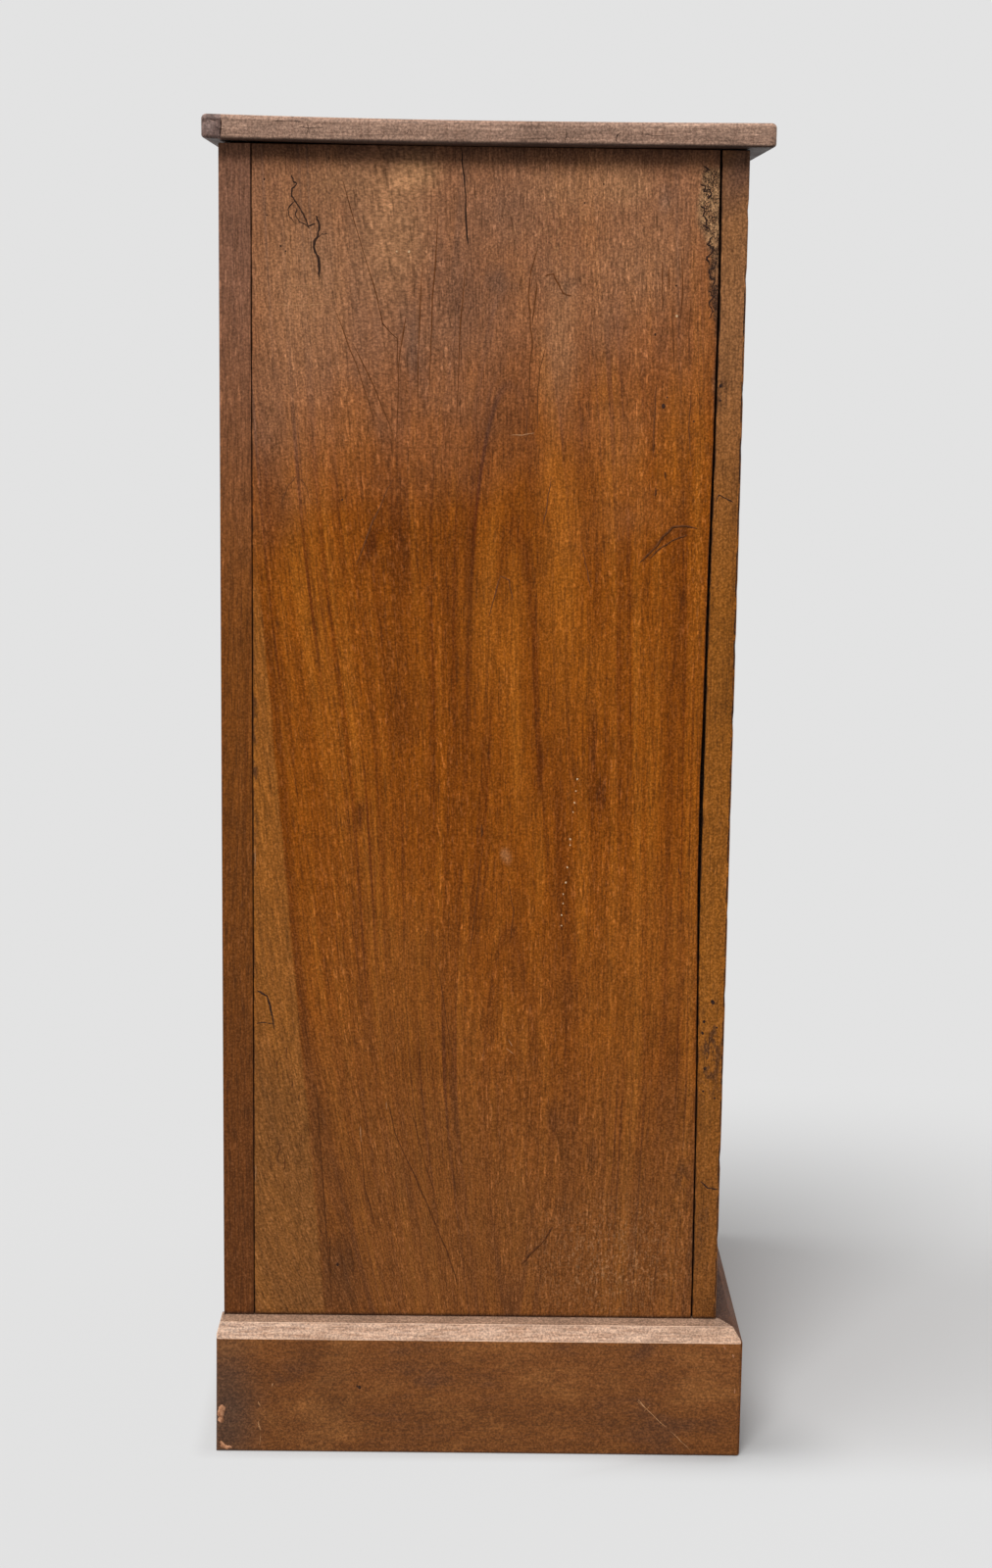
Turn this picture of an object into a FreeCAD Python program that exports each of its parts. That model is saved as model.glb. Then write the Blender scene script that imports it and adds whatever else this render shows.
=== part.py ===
import FreeCAD, Part
import os

# Wellington chest: a tall narrow chest of graduated drawers with one hinged, locking stile.
#
# The chest stands on a chamfered plinth. Two flush side boards sit between the stiles at the front and the
# frame of the back. The left front stile is fixed. The right one is hinged at its outer edge, and when it is
# shut it overlaps the ends of all the drawers, so that one lock holds them. It is stored standing open,
# square to the front.
#
# Millimetres. +X is the right of someone facing the drawers, +Y runs to the back and +Z is up. The origin is
# on the floor, below the middle of the top.

Vector = FreeCAD.Vector

# Overall sizes
TOTAL_HEIGHT = 1120.0
BODY_WIDTH = 524.0
BODY_DEPTH = 424.0

# Top, with a lipping along its back edge
TOP_THICKNESS = 19.0
TOP_FRONT_OVERHANG = 19.0
TOP_SIDE_OVERHANG = 18.0
TOP_BACK_OVERHANG = 12.0
TOP_CORNER_ROUND = 4.5
TOP_UPPER_ROUND = 4.0
TOP_LOWER_ROUND = 3.0
LIPPING_WIDTH = 15.5

# Plinth, with a bearer behind its front board and glue blocks inside
PLINTH_HEIGHT = 118.0
PLINTH_SIDE_PROJECTION = 18.0
PLINTH_FRONT_PROJECTION = 22.0
PLINTH_BACK_PROJECTION = 6.0
PLINTH_BEARING = 6.0
PLINTH_CHAMFER_DEPTH = 8.0
PLINTH_CHAMFER_HEIGHT = 12.0
PLINTH_LEDGE_DROP = 3.0
PLINTH_BACK_THICKNESS = 20.0
PLINTH_BEARER_HEIGHT = 20.0
PLINTH_BEARER_OVERLAP = 22.0
PLINTH_BLOCK_SIZE = 36.0
PLINTH_BLOCK_HEIGHT = 70.0

# Carcass boards
SIDE_THICKNESS = 18.0
BOTTOM_THICKNESS = 18.0
TOP_RAIL_HEIGHT = 18.0
RAIL_HEIGHT = 14.0
RAIL_DEPTH = 60.0
HOUSING_DEPTH = 6.0
RUNNER_WIDTH = 20.0
GUIDE_HEIGHT = 22.0

# Front stiles: the fixed one is tongued to its side, across the gap where the wood has shrunk
STILE_WIDTH = 46.0
STILE_THICKNESS = 24.0
STILE_EASING = 1.5
STILE_GAP = 1.0
STILE_END_CLEARANCE = 1.0
SHRINKAGE_GAP = 2.0
TONGUE_THICKNESS = 6.0
TONGUE_LENGTH = 7.0
GROOVE_SLACK = 0.5

# Back frame and its panels
BACK_FRAME_THICKNESS = 25.5
BACK_STILE_WIDTH = 62.0
BACK_RAIL_COUNT = 3
BACK_RAIL_HEIGHT = 70.0
BACK_JOINT_GAP = 0.8
BACK_TENON_LENGTH = 24.0
BACK_TENON_THICKNESS = 9.0
BACK_PANEL_THICKNESS = 8.0
BACK_PANEL_TONGUE = 7.0

# Drawers
DRAWER_COUNT = 7
DRAWER_HEIGHT_STEP = 8.0
DRAWER_END_CLEARANCE = 1.0
DRAWER_FACE_CLEARANCE = 1.0
DRAWER_RUN_CLEARANCE = 0.3
DRAWER_STOP_CLEARANCE = 0.5
DRAWER_FRONT_THICKNESS = 20.0
DRAWER_FRONT_EASING = 1.2
DRAWER_SIDE_THICKNESS = 9.0
DRAWER_SIDE_DROP = 3.0
DRAWER_BACK_THICKNESS = 9.0
DRAWER_BACK_DROP = 4.0
DRAWER_BOTTOM_THICKNESS = 6.0
DRAWER_BOTTOM_RAISE = 8.0
DRAWER_SIDE_GROOVE = 4.0
DRAWER_FRONT_GROOVE = 6.0
DOVETAIL_LAP = 6.0
DOVETAIL_PITCH = 32.0
DOVETAIL_TAIL_SHARE = 0.55
DOVETAIL_SLOPE_SHARE = 1 / 6

# Turned knobs, two on each drawer
KNOB_SPACING = 250.0
KNOB_LENGTH = 30.0
KNOB_BASE_RADIUS = 11.0
KNOB_BASE_LENGTH = 3.0
KNOB_NECK_RADIUS = 7.5
KNOB_NECK_PLACE = 9.0
KNOB_HEAD_RADIUS = 17.0
KNOB_HEAD_PLACE = 21.0
KNOB_CROWN_SHARE = 0.77
KNOB_SPIGOT_RADIUS = 6.0
KNOB_SPIGOT_LENGTH = 17.0
KNOB_FIT = 0.05

# Butt hinges of the locking stile
HINGE_HEIGHT_SHARES = (0.1, 0.5, 0.9)
HINGE_LENGTH = 50.0
HINGE_LEAF_WIDTH = 12.0
HINGE_LEAF_THICKNESS = 1.5
HINGE_STANDOFF = 1.5
KNUCKLE_RADIUS = 3.2
KNUCKLE_CLEARANCE = 0.3
KNUCKLE_NOTCH_CLEARANCE = 0.5
HINGE_PIN_RADIUS = 1.5
HINGE_PIN_SEAT_CLEARANCE = 0.02
HINGE_PIN_RUN_CLEARANCE = 0.05
STILE_REST_ANGLE = 90.0

# Lock of the stile, and its keeper on the drawer rail nearest the middle
LOCK_WIDTH = 26.0
LOCK_HEIGHT = 54.0
LOCK_DEPTH = 13.0
LOCK_WALL = 1.5
LOCK_HEAD_ROOM = 10.0
KEEPER_INSET = 27.5
KEEPER_PLATE_WIDTH = 16.0
KEEPER_PLATE_THICKNESS = 1.5
KEEPER_PLATE_MARGIN = 1.0
KEEPER_WIDTH = 11.0
KEEPER_THICKNESS = 4.0
KEEPER_REACH = 11.0
KEEPER_EYE_RADIUS = 2.6
KEEPER_EYE_INSET = 5.5
KEEPER_SWING_CLEARANCE = 2.5
KEEPER_SIDE_CLEARANCE = 1.0
BOLT_CLEARANCE = 0.3
BOLT_BLOCK_HEIGHT = 18.0
BOLT_NOTCH_WIDTH = 9.0
BOLT_NOTCH_HEIGHT = 11.0
BOLT_PIN_RADIUS = 2.0
BOLT_PIN_DROP = 1.5
BOLT_TRAVEL = 8.0
KEYHOLE_RADIUS = 2.6
KEYHOLE_SLOT_WIDTH = 2.6
KEYHOLE_SLOT_LENGTH = 8.0
KEYHOLE_ABOVE_CASE_FLOOR = 9.0
ESCUTCHEON_RIM = 1.6
ESCUTCHEON_DEPTH = 4.0

# How far cutting tools pass the faces that they cut
OVERRUN = 5.0

# Places that follow from the sizes
HALF_WIDTH = BODY_WIDTH / 2
INNER_X = HALF_WIDTH - SIDE_THICKNESS
STILE_INNER_X = HALF_WIDTH - STILE_WIDTH
SIDE_MIDDLE_X = HALF_WIDTH - SIDE_THICKNESS / 2
FACE_Y = -(BODY_DEPTH - TOP_FRONT_OVERHANG + TOP_BACK_OVERHANG) / 2
BACK_Y = FACE_Y + BODY_DEPTH
STILE_BACK_Y = FACE_Y + STILE_THICKNESS
CARCASS_FRONT_Y = STILE_BACK_Y + STILE_GAP
BACK_FRAME_Y = BACK_Y - BACK_FRAME_THICKNESS
CARCASS_TOP = TOTAL_HEIGHT - TOP_THICKNESS
BOTTOM_TOP = PLINTH_HEIGHT + BOTTOM_THICKNESS
STILE_FOOT = PLINTH_HEIGHT + STILE_END_CLEARANCE
STILE_HEAD = CARCASS_TOP - STILE_END_CLEARANCE
HINGE_X = HALF_WIDTH + HINGE_STANDOFF
HINGE_Y = STILE_BACK_Y + STILE_GAP / 2
DRAWER_LEFT_X = -STILE_INNER_X + DRAWER_END_CLEARANCE
DRAWER_RIGHT_X = INNER_X - DRAWER_END_CLEARANCE
DRAWER_REAR_Y = BACK_FRAME_Y - DRAWER_STOP_CLEARANCE


def box(low_x, high_x, low_y, high_y, low_z, high_z):
    """A block between two corners."""
    corner = Vector(low_x, low_y, low_z)
    return Part.makeBox(high_x - low_x, high_y - low_y, high_z - low_z, corner)


def prism(points, along):
    """A prism on a closed flat outline, drawn out along a vector."""
    outline = Part.makePolygon(points + points[:1])
    return Part.Face(outline).extrude(along)


def joined(shapes):
    """Several touching shapes as one solid, with no seams left on its flat faces."""
    return shapes[0].fuse(shapes[1:]).removeSplitter()


def mirrored(shape):
    """The same piece on the other side of the chest."""
    return shape.mirror(Vector(0, 0, 0), Vector(1, 0, 0))


def drawer_openings():
    """The floor and ceiling of each drawer's opening, from the top drawer down."""
    rail_total = (DRAWER_COUNT - 1) * RAIL_HEIGHT
    clear = CARCASS_TOP - TOP_RAIL_HEIGHT - BOTTOM_TOP - rail_total
    steps = DRAWER_COUNT * (DRAWER_COUNT - 1) / 2
    least = (clear - steps * DRAWER_HEIGHT_STEP) / DRAWER_COUNT
    openings = []
    ceiling = CARCASS_TOP - TOP_RAIL_HEIGHT
    for number in range(DRAWER_COUNT):
        floor = ceiling - least - number * DRAWER_HEIGHT_STEP
        openings.append((floor, ceiling))
        ceiling = floor - RAIL_HEIGHT
    return openings


def top():
    """The top with its rounded edges, sawn into the main board and the lipping at the back."""
    half = HALF_WIDTH + TOP_SIDE_OVERHANG
    front = FACE_Y - TOP_FRONT_OVERHANG
    back = BACK_Y + TOP_BACK_OVERHANG
    slab = box(-half, half, front, back, CARCASS_TOP, TOTAL_HEIGHT)
    upright = [e for e in slab.Edges if e.BoundBox.ZLength > TOP_THICKNESS / 2]
    slab = slab.makeFillet(TOP_CORNER_ROUND, upright)
    upper = [e for e in slab.Edges if e.BoundBox.ZMin > TOTAL_HEIGHT - TOP_THICKNESS / 4]
    slab = slab.makeFillet(TOP_UPPER_ROUND, upper)
    lower = [e for e in slab.Edges if e.BoundBox.ZMax < CARCASS_TOP + TOP_THICKNESS / 4]
    slab = slab.makeFillet(TOP_LOWER_ROUND, lower)
    seam = back - LIPPING_WIDTH
    rear = box(-half, half, seam, back, CARCASS_TOP, TOTAL_HEIGHT)
    return {"top_board": slab.cut(rear), "top_back_lipping": slab.common(rear)}


def plinth_profile(depth):
    """The plinth's section as pairs of distance in from its outer face and height."""
    shoulder = PLINTH_HEIGHT - PLINTH_LEDGE_DROP
    return [
        (0, 0),
        (0, shoulder - PLINTH_CHAMFER_HEIGHT),
        (PLINTH_CHAMFER_DEPTH, shoulder),
        (PLINTH_SIDE_PROJECTION, PLINTH_HEIGHT),
        (depth, PLINTH_HEIGHT),
        (depth, 0),
    ]


def plinth():
    """Four plinth boards, mitred at the front, with the bearer and glue blocks that brace them inside."""
    outer_x = HALF_WIDTH + PLINTH_SIDE_PROJECTION
    outer_y = FACE_Y - PLINTH_FRONT_PROJECTION
    end_y = BACK_Y + PLINTH_BACK_PROJECTION
    side_depth = PLINTH_SIDE_PROJECTION + PLINTH_BEARING
    front_depth = PLINTH_FRONT_PROJECTION + PLINTH_BEARING

    front_points = [Vector(-outer_x, outer_y + inset, z) for inset, z in plinth_profile(front_depth)]
    front = prism(front_points, Vector(2 * outer_x, 0, 0))
    side_points = [Vector(-outer_x + inset, outer_y, z) for inset, z in plinth_profile(side_depth)]
    side = prism(side_points, Vector(0, end_y - outer_y, 0))

    reach = front_depth + side_depth
    corner = Vector(-outer_x, outer_y, 0)
    up = Vector(0, 0, PLINTH_HEIGHT)
    behind_mitre = prism([corner, corner + Vector(reach, reach, 0), corner + Vector(0, reach, 0)], up)
    before_mitre = prism([corner, corner + Vector(reach, 0, 0), corner + Vector(reach, reach, 0)], up)
    front = front.cut(behind_mitre).cut(mirrored(behind_mitre))
    side = side.cut(before_mitre)

    inner_x = outer_x - side_depth
    inner_y = outer_y + front_depth
    back_inner_y = BACK_Y - PLINTH_BACK_THICKNESS
    back = box(-inner_x, inner_x, back_inner_y, BACK_Y, 0, PLINTH_HEIGHT)

    bearer_foot = PLINTH_HEIGHT - PLINTH_BEARER_HEIGHT
    bearer_rear = CARCASS_FRONT_Y + PLINTH_BEARER_OVERLAP
    bearer = box(-inner_x, inner_x, inner_y, bearer_rear, bearer_foot, PLINTH_HEIGHT)

    size = PLINTH_BLOCK_SIZE
    middle_y = (inner_y + back_inner_y - size) / 2
    rows = ((inner_y, bearer_foot), (middle_y, PLINTH_HEIGHT), (back_inner_y - size, PLINTH_HEIGHT))
    braces = [bearer]
    for low_x in (-inner_x, -size / 2, inner_x - size):
        for low_y, head in rows:
            is_free_of_boards = low_x == -size / 2 and low_y == middle_y
            if not is_free_of_boards:
                foot = head - PLINTH_BLOCK_HEIGHT
                braces.append(box(low_x, low_x + size, low_y, low_y + size, foot, head))
    return {
        "plinth_front": front,
        "plinth_left": side,
        "plinth_right": mirrored(side),
        "plinth_back": back,
        "plinth_blocks": Part.makeCompound(braces),
    }


def rails(openings):
    """The rail under the top and the rails between the drawers, with ends that are housed in the sides."""
    end = INNER_X + HOUSING_DEPTH
    rear = CARCASS_FRONT_Y + RAIL_DEPTH
    top_rail = box(-end, end, CARCASS_FRONT_Y, rear, CARCASS_TOP - TOP_RAIL_HEIGHT, CARCASS_TOP)
    made = [top_rail]
    for floor, _ in openings[:-1]:
        made.append(box(-end, end, CARCASS_FRONT_Y, rear, floor - RAIL_HEIGHT, floor))
    return made


def bottom_board():
    """The board that the lowest drawer runs on, housed in both sides."""
    end = INNER_X + HOUSING_DEPTH
    return box(-end, end, CARCASS_FRONT_Y, BACK_FRAME_Y, PLINTH_HEIGHT, BOTTOM_TOP)


def side_board(has_fixed_stile):
    """One side, as it stands on the left: a board tongued at the back, and at the front to a fixed stile."""
    front = STILE_BACK_Y + SHRINKAGE_GAP if has_fixed_stile else CARCASS_FRONT_Y
    rear = BACK_FRAME_Y - BACK_JOINT_GAP
    tongue_low = -SIDE_MIDDLE_X - TONGUE_THICKNESS / 2
    tongue_high = -SIDE_MIDDLE_X + TONGUE_THICKNESS / 2
    rear_tip = BACK_FRAME_Y + TONGUE_LENGTH
    board = box(-HALF_WIDTH, -INNER_X, front, rear, PLINTH_HEIGHT, CARCASS_TOP)
    pieces = [board, box(tongue_low, tongue_high, rear, rear_tip, PLINTH_HEIGHT, CARCASS_TOP)]
    if has_fixed_stile:
        front_tip = STILE_BACK_Y - TONGUE_LENGTH
        pieces.append(box(tongue_low, tongue_high, front_tip, front, PLINTH_HEIGHT, CARCASS_TOP))
    return joined(pieces)


def tongue_groove(low_y, high_y):
    """The cutter for the groove that a side's tongue stands in, on the left."""
    low = -SIDE_MIDDLE_X - TONGUE_THICKNESS / 2
    high = -SIDE_MIDDLE_X + TONGUE_THICKNESS / 2
    return box(low, high, low_y, high_y, PLINTH_HEIGHT - OVERRUN, CARCASS_TOP + OVERRUN)


def runners(openings):
    """The strips that the drawers slide on, wider on the left, where the drawers stand further in."""
    front = CARCASS_FRONT_Y + RAIL_DEPTH
    left_edge = -STILE_INNER_X + RUNNER_WIDTH
    right_edge = INNER_X - RUNNER_WIDTH
    made = []
    for floor, _ in openings[:-1]:
        low = floor - RAIL_HEIGHT
        made.append(box(-INNER_X, left_edge, front, BACK_FRAME_Y, low, floor))
        made.append(box(right_edge, INNER_X, front, BACK_FRAME_Y, low, floor))
    return Part.makeCompound(made)


def guides(openings):
    """The strips on the left that keep the drawers clear of the fixed stile."""
    made = []
    for floor, _ in openings:
        head = floor + GUIDE_HEIGHT
        made.append(box(-INNER_X, -STILE_INNER_X, CARCASS_FRONT_Y, BACK_FRAME_Y, floor, head))
    return Part.makeCompound(made)


def eased_stile(low_x, high_x, low_z, high_z):
    """A front stile with its two front arrises rounded."""
    stile = box(low_x, high_x, FACE_Y, STILE_BACK_Y, low_z, high_z)
    upright = [e for e in stile.Edges if e.BoundBox.ZLength > STILE_WIDTH]
    front_arrises = [e for e in upright if e.BoundBox.YMax < FACE_Y + STILE_EASING]
    return stile.makeFillet(STILE_EASING, front_arrises)


def back_frame():
    """The framed back: two stiles, tenoned rails, and panels held in grooves."""
    inner = HALF_WIDTH - BACK_STILE_WIDTH
    middle_y = BACK_FRAME_Y + BACK_FRAME_THICKNESS / 2
    tenon_low_y = middle_y - BACK_TENON_THICKNESS / 2
    tenon_high_y = middle_y + BACK_TENON_THICKNESS / 2
    panel_low_y = middle_y - BACK_PANEL_THICKNESS / 2
    panel_high_y = middle_y + BACK_PANEL_THICKNESS / 2
    rail_rise = (CARCASS_TOP - PLINTH_HEIGHT - BACK_RAIL_HEIGHT) / (BACK_RAIL_COUNT - 1)
    rail_feet = [PLINTH_HEIGHT + place * rail_rise for place in range(BACK_RAIL_COUNT)]
    reach = BACK_PANEL_TONGUE
    groove_reach = BACK_PANEL_TONGUE + GROOVE_SLACK
    tenon_end = inner + BACK_TENON_LENGTH

    stile = box(-HALF_WIDTH, -inner, BACK_FRAME_Y, BACK_Y, PLINTH_HEIGHT, CARCASS_TOP)
    stile = stile.cut(tongue_groove(BACK_FRAME_Y - OVERRUN, BACK_FRAME_Y + TONGUE_LENGTH + GROOVE_SLACK))
    made_rails = []
    for foot in rail_feet:
        head = foot + BACK_RAIL_HEIGHT
        tenon_foot = foot + groove_reach
        tenon_head = head - groove_reach
        tenon = box(-tenon_end, tenon_end, tenon_low_y, tenon_high_y, tenon_foot, tenon_head)
        made_rails.append(joined([box(-inner, inner, BACK_FRAME_Y, BACK_Y, foot, head), tenon]))
        stile = stile.cut(tenon)

    panels = []
    for below in range(BACK_RAIL_COUNT - 1):
        low = rail_feet[below] + BACK_RAIL_HEIGHT
        high = rail_feet[below + 1]
        edge = inner + reach
        panels.append(box(-edge, edge, panel_low_y, panel_high_y, low - reach, high + reach))
        groove_end = inner + groove_reach
        groove_foot = low - groove_reach
        groove_head = high + groove_reach
        groove = box(-groove_end, groove_end, panel_low_y, panel_high_y, groove_foot, groove_head)
        stile = stile.cut(groove)
        made_rails[below] = made_rails[below].cut(groove)
        made_rails[below + 1] = made_rails[below + 1].cut(groove)
    return {
        "back_stiles": Part.makeCompound([stile, mirrored(stile)]),
        "back_rails": Part.makeCompound(made_rails),
        "back_panels": Part.makeCompound(panels),
    }


def tails(low_x, high_x, root_y, tip_y, low_z, high_z):
    """A row of dovetails that widen from root_y to tip_y, through the thickness of a drawer side."""
    height = high_z - low_z
    count = max(1, int(height / DOVETAIL_PITCH))
    pitch = height / count
    root_half = pitch * DOVETAIL_TAIL_SHARE / 2
    tip_half = root_half + abs(tip_y - root_y) * DOVETAIL_SLOPE_SHARE
    made = []
    for number in range(count):
        middle = low_z + (number + 0.5) * pitch
        outline = [
            Vector(low_x, root_y, middle - root_half),
            Vector(low_x, root_y, middle + root_half),
            Vector(low_x, tip_y, middle + tip_half),
            Vector(low_x, tip_y, middle - tip_half),
        ]
        made.append(prism(outline, Vector(high_x - low_x, 0, 0)))
    return made


def knob(place_x, place_z):
    """A turned knob on the face of a drawer, with the spigot that is glued into the front."""
    face = CARCASS_FRONT_Y

    def point(radius, outward):
        return Vector(place_x + radius, face - outward, place_z)

    head_top = point(0, KNOB_LENGTH)
    head_rim = point(KNOB_HEAD_RADIUS, KNOB_HEAD_PLACE)
    crown_rise = (KNOB_LENGTH - KNOB_HEAD_PLACE) * KNOB_CROWN_SHARE
    crown = point(KNOB_HEAD_RADIUS * KNOB_CROWN_SHARE, KNOB_HEAD_PLACE + crown_rise)
    neck = point(KNOB_NECK_RADIUS, KNOB_NECK_PLACE)
    base_top = point(KNOB_BASE_RADIUS, KNOB_BASE_LENGTH)
    corners = [
        base_top,
        point(KNOB_BASE_RADIUS, 0),
        point(KNOB_SPIGOT_RADIUS, 0),
        point(KNOB_SPIGOT_RADIUS, -KNOB_SPIGOT_LENGTH),
        point(0, -KNOB_SPIGOT_LENGTH),
        head_top,
    ]
    edges = [
        Part.Arc(head_top, crown, head_rim).toShape(),
        Part.Arc(head_rim, neck, base_top).toShape(),
    ]
    for start, end in zip(corners, corners[1:]):
        edges.append(Part.LineSegment(start, end).toShape())
    section = Part.Face(Part.Wire(Part.__sortEdges__(edges)))
    full_turn = 360
    return section.revolve(Vector(place_x, face, place_z), Vector(0, 1, 0), full_turn)


def drawer(number, floor, ceiling):
    """One drawer: a front, sides dovetailed to it and to the back, a bottom in grooves, and two knobs."""
    left, right = DRAWER_LEFT_X, DRAWER_RIGHT_X
    left_inner = left + DRAWER_SIDE_THICKNESS
    right_inner = right - DRAWER_SIDE_THICKNESS
    face = CARCASS_FRONT_Y
    front_back = face + DRAWER_FRONT_THICKNESS
    rear = DRAWER_REAR_Y
    back_front = rear - DRAWER_BACK_THICKNESS
    front_low = floor + DRAWER_FACE_CLEARANCE
    front_high = ceiling - DRAWER_FACE_CLEARANCE
    side_low = floor + DRAWER_RUN_CLEARANCE
    side_high = front_high - DRAWER_SIDE_DROP
    bottom_low = side_low + DRAWER_BOTTOM_RAISE
    bottom_high = bottom_low + DRAWER_BOTTOM_THICKNESS
    back_high = side_high - DRAWER_BACK_DROP

    front = box(left, right, face, front_back, front_low, front_high)
    rim = [e for e in front.Edges if e.BoundBox.YMax < face + DRAWER_FRONT_EASING]
    front = front.makeChamfer(DRAWER_FRONT_EASING, rim)
    back = box(left, right, back_front, rear, bottom_high, back_high)
    groove_left = left_inner - DRAWER_SIDE_GROOVE
    groove_right = right_inner + DRAWER_SIDE_GROOVE
    front_groove = front_back - DRAWER_FRONT_GROOVE
    bottom = joined([
        box(groove_left, groove_right, front_back, rear, bottom_low, bottom_high),
        box(left_inner, right_inner, front_groove, front_back, bottom_low, bottom_high),
    ])

    sides = []
    for low_x, high_x in ((left, left_inner), (right_inner, right)):
        front_tails = tails(low_x, high_x, front_back, face + DOVETAIL_LAP, front_low, side_high)
        back_tails = tails(low_x, high_x, back_front, rear, bottom_high, back_high)
        plate = box(low_x, high_x, front_back, rear, side_low, side_high)
        plate = plate.cut(box(low_x, high_x, back_front, rear, bottom_high, back_high))
        sides.append(joined([plate] + front_tails + back_tails).cut(bottom))
        for tail in front_tails:
            front = front.cut(tail)
        for tail in back_tails:
            back = back.cut(tail)

    knobs = []
    hole_radius = KNOB_SPIGOT_RADIUS + KNOB_FIT
    hole_length = KNOB_SPIGOT_LENGTH + OVERRUN
    for place_x in (-KNOB_SPACING / 2, KNOB_SPACING / 2):
        place_z = (front_low + front_high) / 2
        knobs.append(knob(place_x, place_z))
        mouth = Vector(place_x, face - OVERRUN, place_z)
        front = front.cut(Part.makeCylinder(hole_radius, hole_length, mouth, Vector(0, 1, 0)))
    name = f"drawer_{number}_"
    return {
        name + "front": front.cut(bottom),
        name + "sides": Part.makeCompound(sides),
        name + "back": back,
        name + "bottom": bottom,
        name + "knobs": Part.makeCompound(knobs),
    }


def hinge_middles():
    """The heights of the hinges' middles."""
    return [STILE_FOOT + share * (STILE_HEAD - STILE_FOOT) for share in HINGE_HEIGHT_SHARES]


def barrel(radius, low_z, high_z):
    """A cylinder on the axis of the hinges."""
    return Part.makeCylinder(radius, high_z - low_z, Vector(HINGE_X, HINGE_Y, low_z))


def hinge_recess(middle, leaf_low_y, leaf_high_y):
    """The cutter that lets one leaf and the knuckles of a hinge into the wood."""
    low = middle - HINGE_LENGTH / 2
    high = middle + HINGE_LENGTH / 2
    leaf = box(HALF_WIDTH - HINGE_LEAF_WIDTH, HINGE_X, leaf_low_y, leaf_high_y, low, high)
    notch_radius = KNUCKLE_RADIUS + KNUCKLE_NOTCH_CLEARANCE
    notch = barrel(notch_radius, low - KNUCKLE_NOTCH_CLEARANCE, high + KNUCKLE_NOTCH_CLEARANCE)
    return leaf.fuse(notch)


def hinge(middle):
    """One butt hinge with the stile shut: the carcass leaf, the stile leaf and the pin."""
    low = middle - HINGE_LENGTH / 2
    high = middle + HINGE_LENGTH / 2
    knuckle = HINGE_LENGTH / 3
    outer_spans = [(low, low + knuckle), (high - knuckle, high)]
    inner_span = (low + knuckle + KNUCKLE_CLEARANCE, high - knuckle - KNUCKLE_CLEARANCE)
    leaf_low_x = HALF_WIDTH - HINGE_LEAF_WIDTH
    clear_radius = KNUCKLE_RADIUS + KNUCKLE_CLEARANCE

    def leaf(low_y, high_y, own_spans, other_spans, bore_radius):
        plate = box(leaf_low_x, HINGE_X, low_y, high_y, low, high)
        for start, end in other_spans:
            plate = plate.cut(barrel(clear_radius, start - KNUCKLE_CLEARANCE, end + KNUCKLE_CLEARANCE))
        plate = joined([plate] + [barrel(KNUCKLE_RADIUS, start, end) for start, end in own_spans])
        return plate.cut(barrel(bore_radius, low - OVERRUN, high + OVERRUN))

    carcass_bore = HINGE_PIN_RADIUS + HINGE_PIN_SEAT_CLEARANCE
    stile_bore = HINGE_PIN_RADIUS + HINGE_PIN_RUN_CLEARANCE
    carcass_high_y = CARCASS_FRONT_Y + HINGE_LEAF_THICKNESS
    stile_low_y = STILE_BACK_Y - HINGE_LEAF_THICKNESS
    carcass_leaf = leaf(CARCASS_FRONT_Y, carcass_high_y, outer_spans, [inner_span], carcass_bore)
    stile_leaf = leaf(stile_low_y, STILE_BACK_Y, [inner_span], outer_spans, stile_bore)
    return carcass_leaf, stile_leaf, barrel(HINGE_PIN_RADIUS, low, high)


def keyhole(margin, middle_x, middle_z, low_y, high_y):
    """A keyhole cutter, a round hole above a slot, that is larger all round by margin."""
    radius = KEYHOLE_RADIUS + margin
    half_slot = KEYHOLE_SLOT_WIDTH / 2 + margin
    foot = middle_z - KEYHOLE_SLOT_LENGTH - margin
    hole = Part.makeCylinder(radius, high_y - low_y, Vector(middle_x, low_y, middle_z), Vector(0, 1, 0))
    slot = box(middle_x - half_slot, middle_x + half_slot, low_y, high_y, foot, middle_z)
    return joined([hole, slot])


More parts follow.
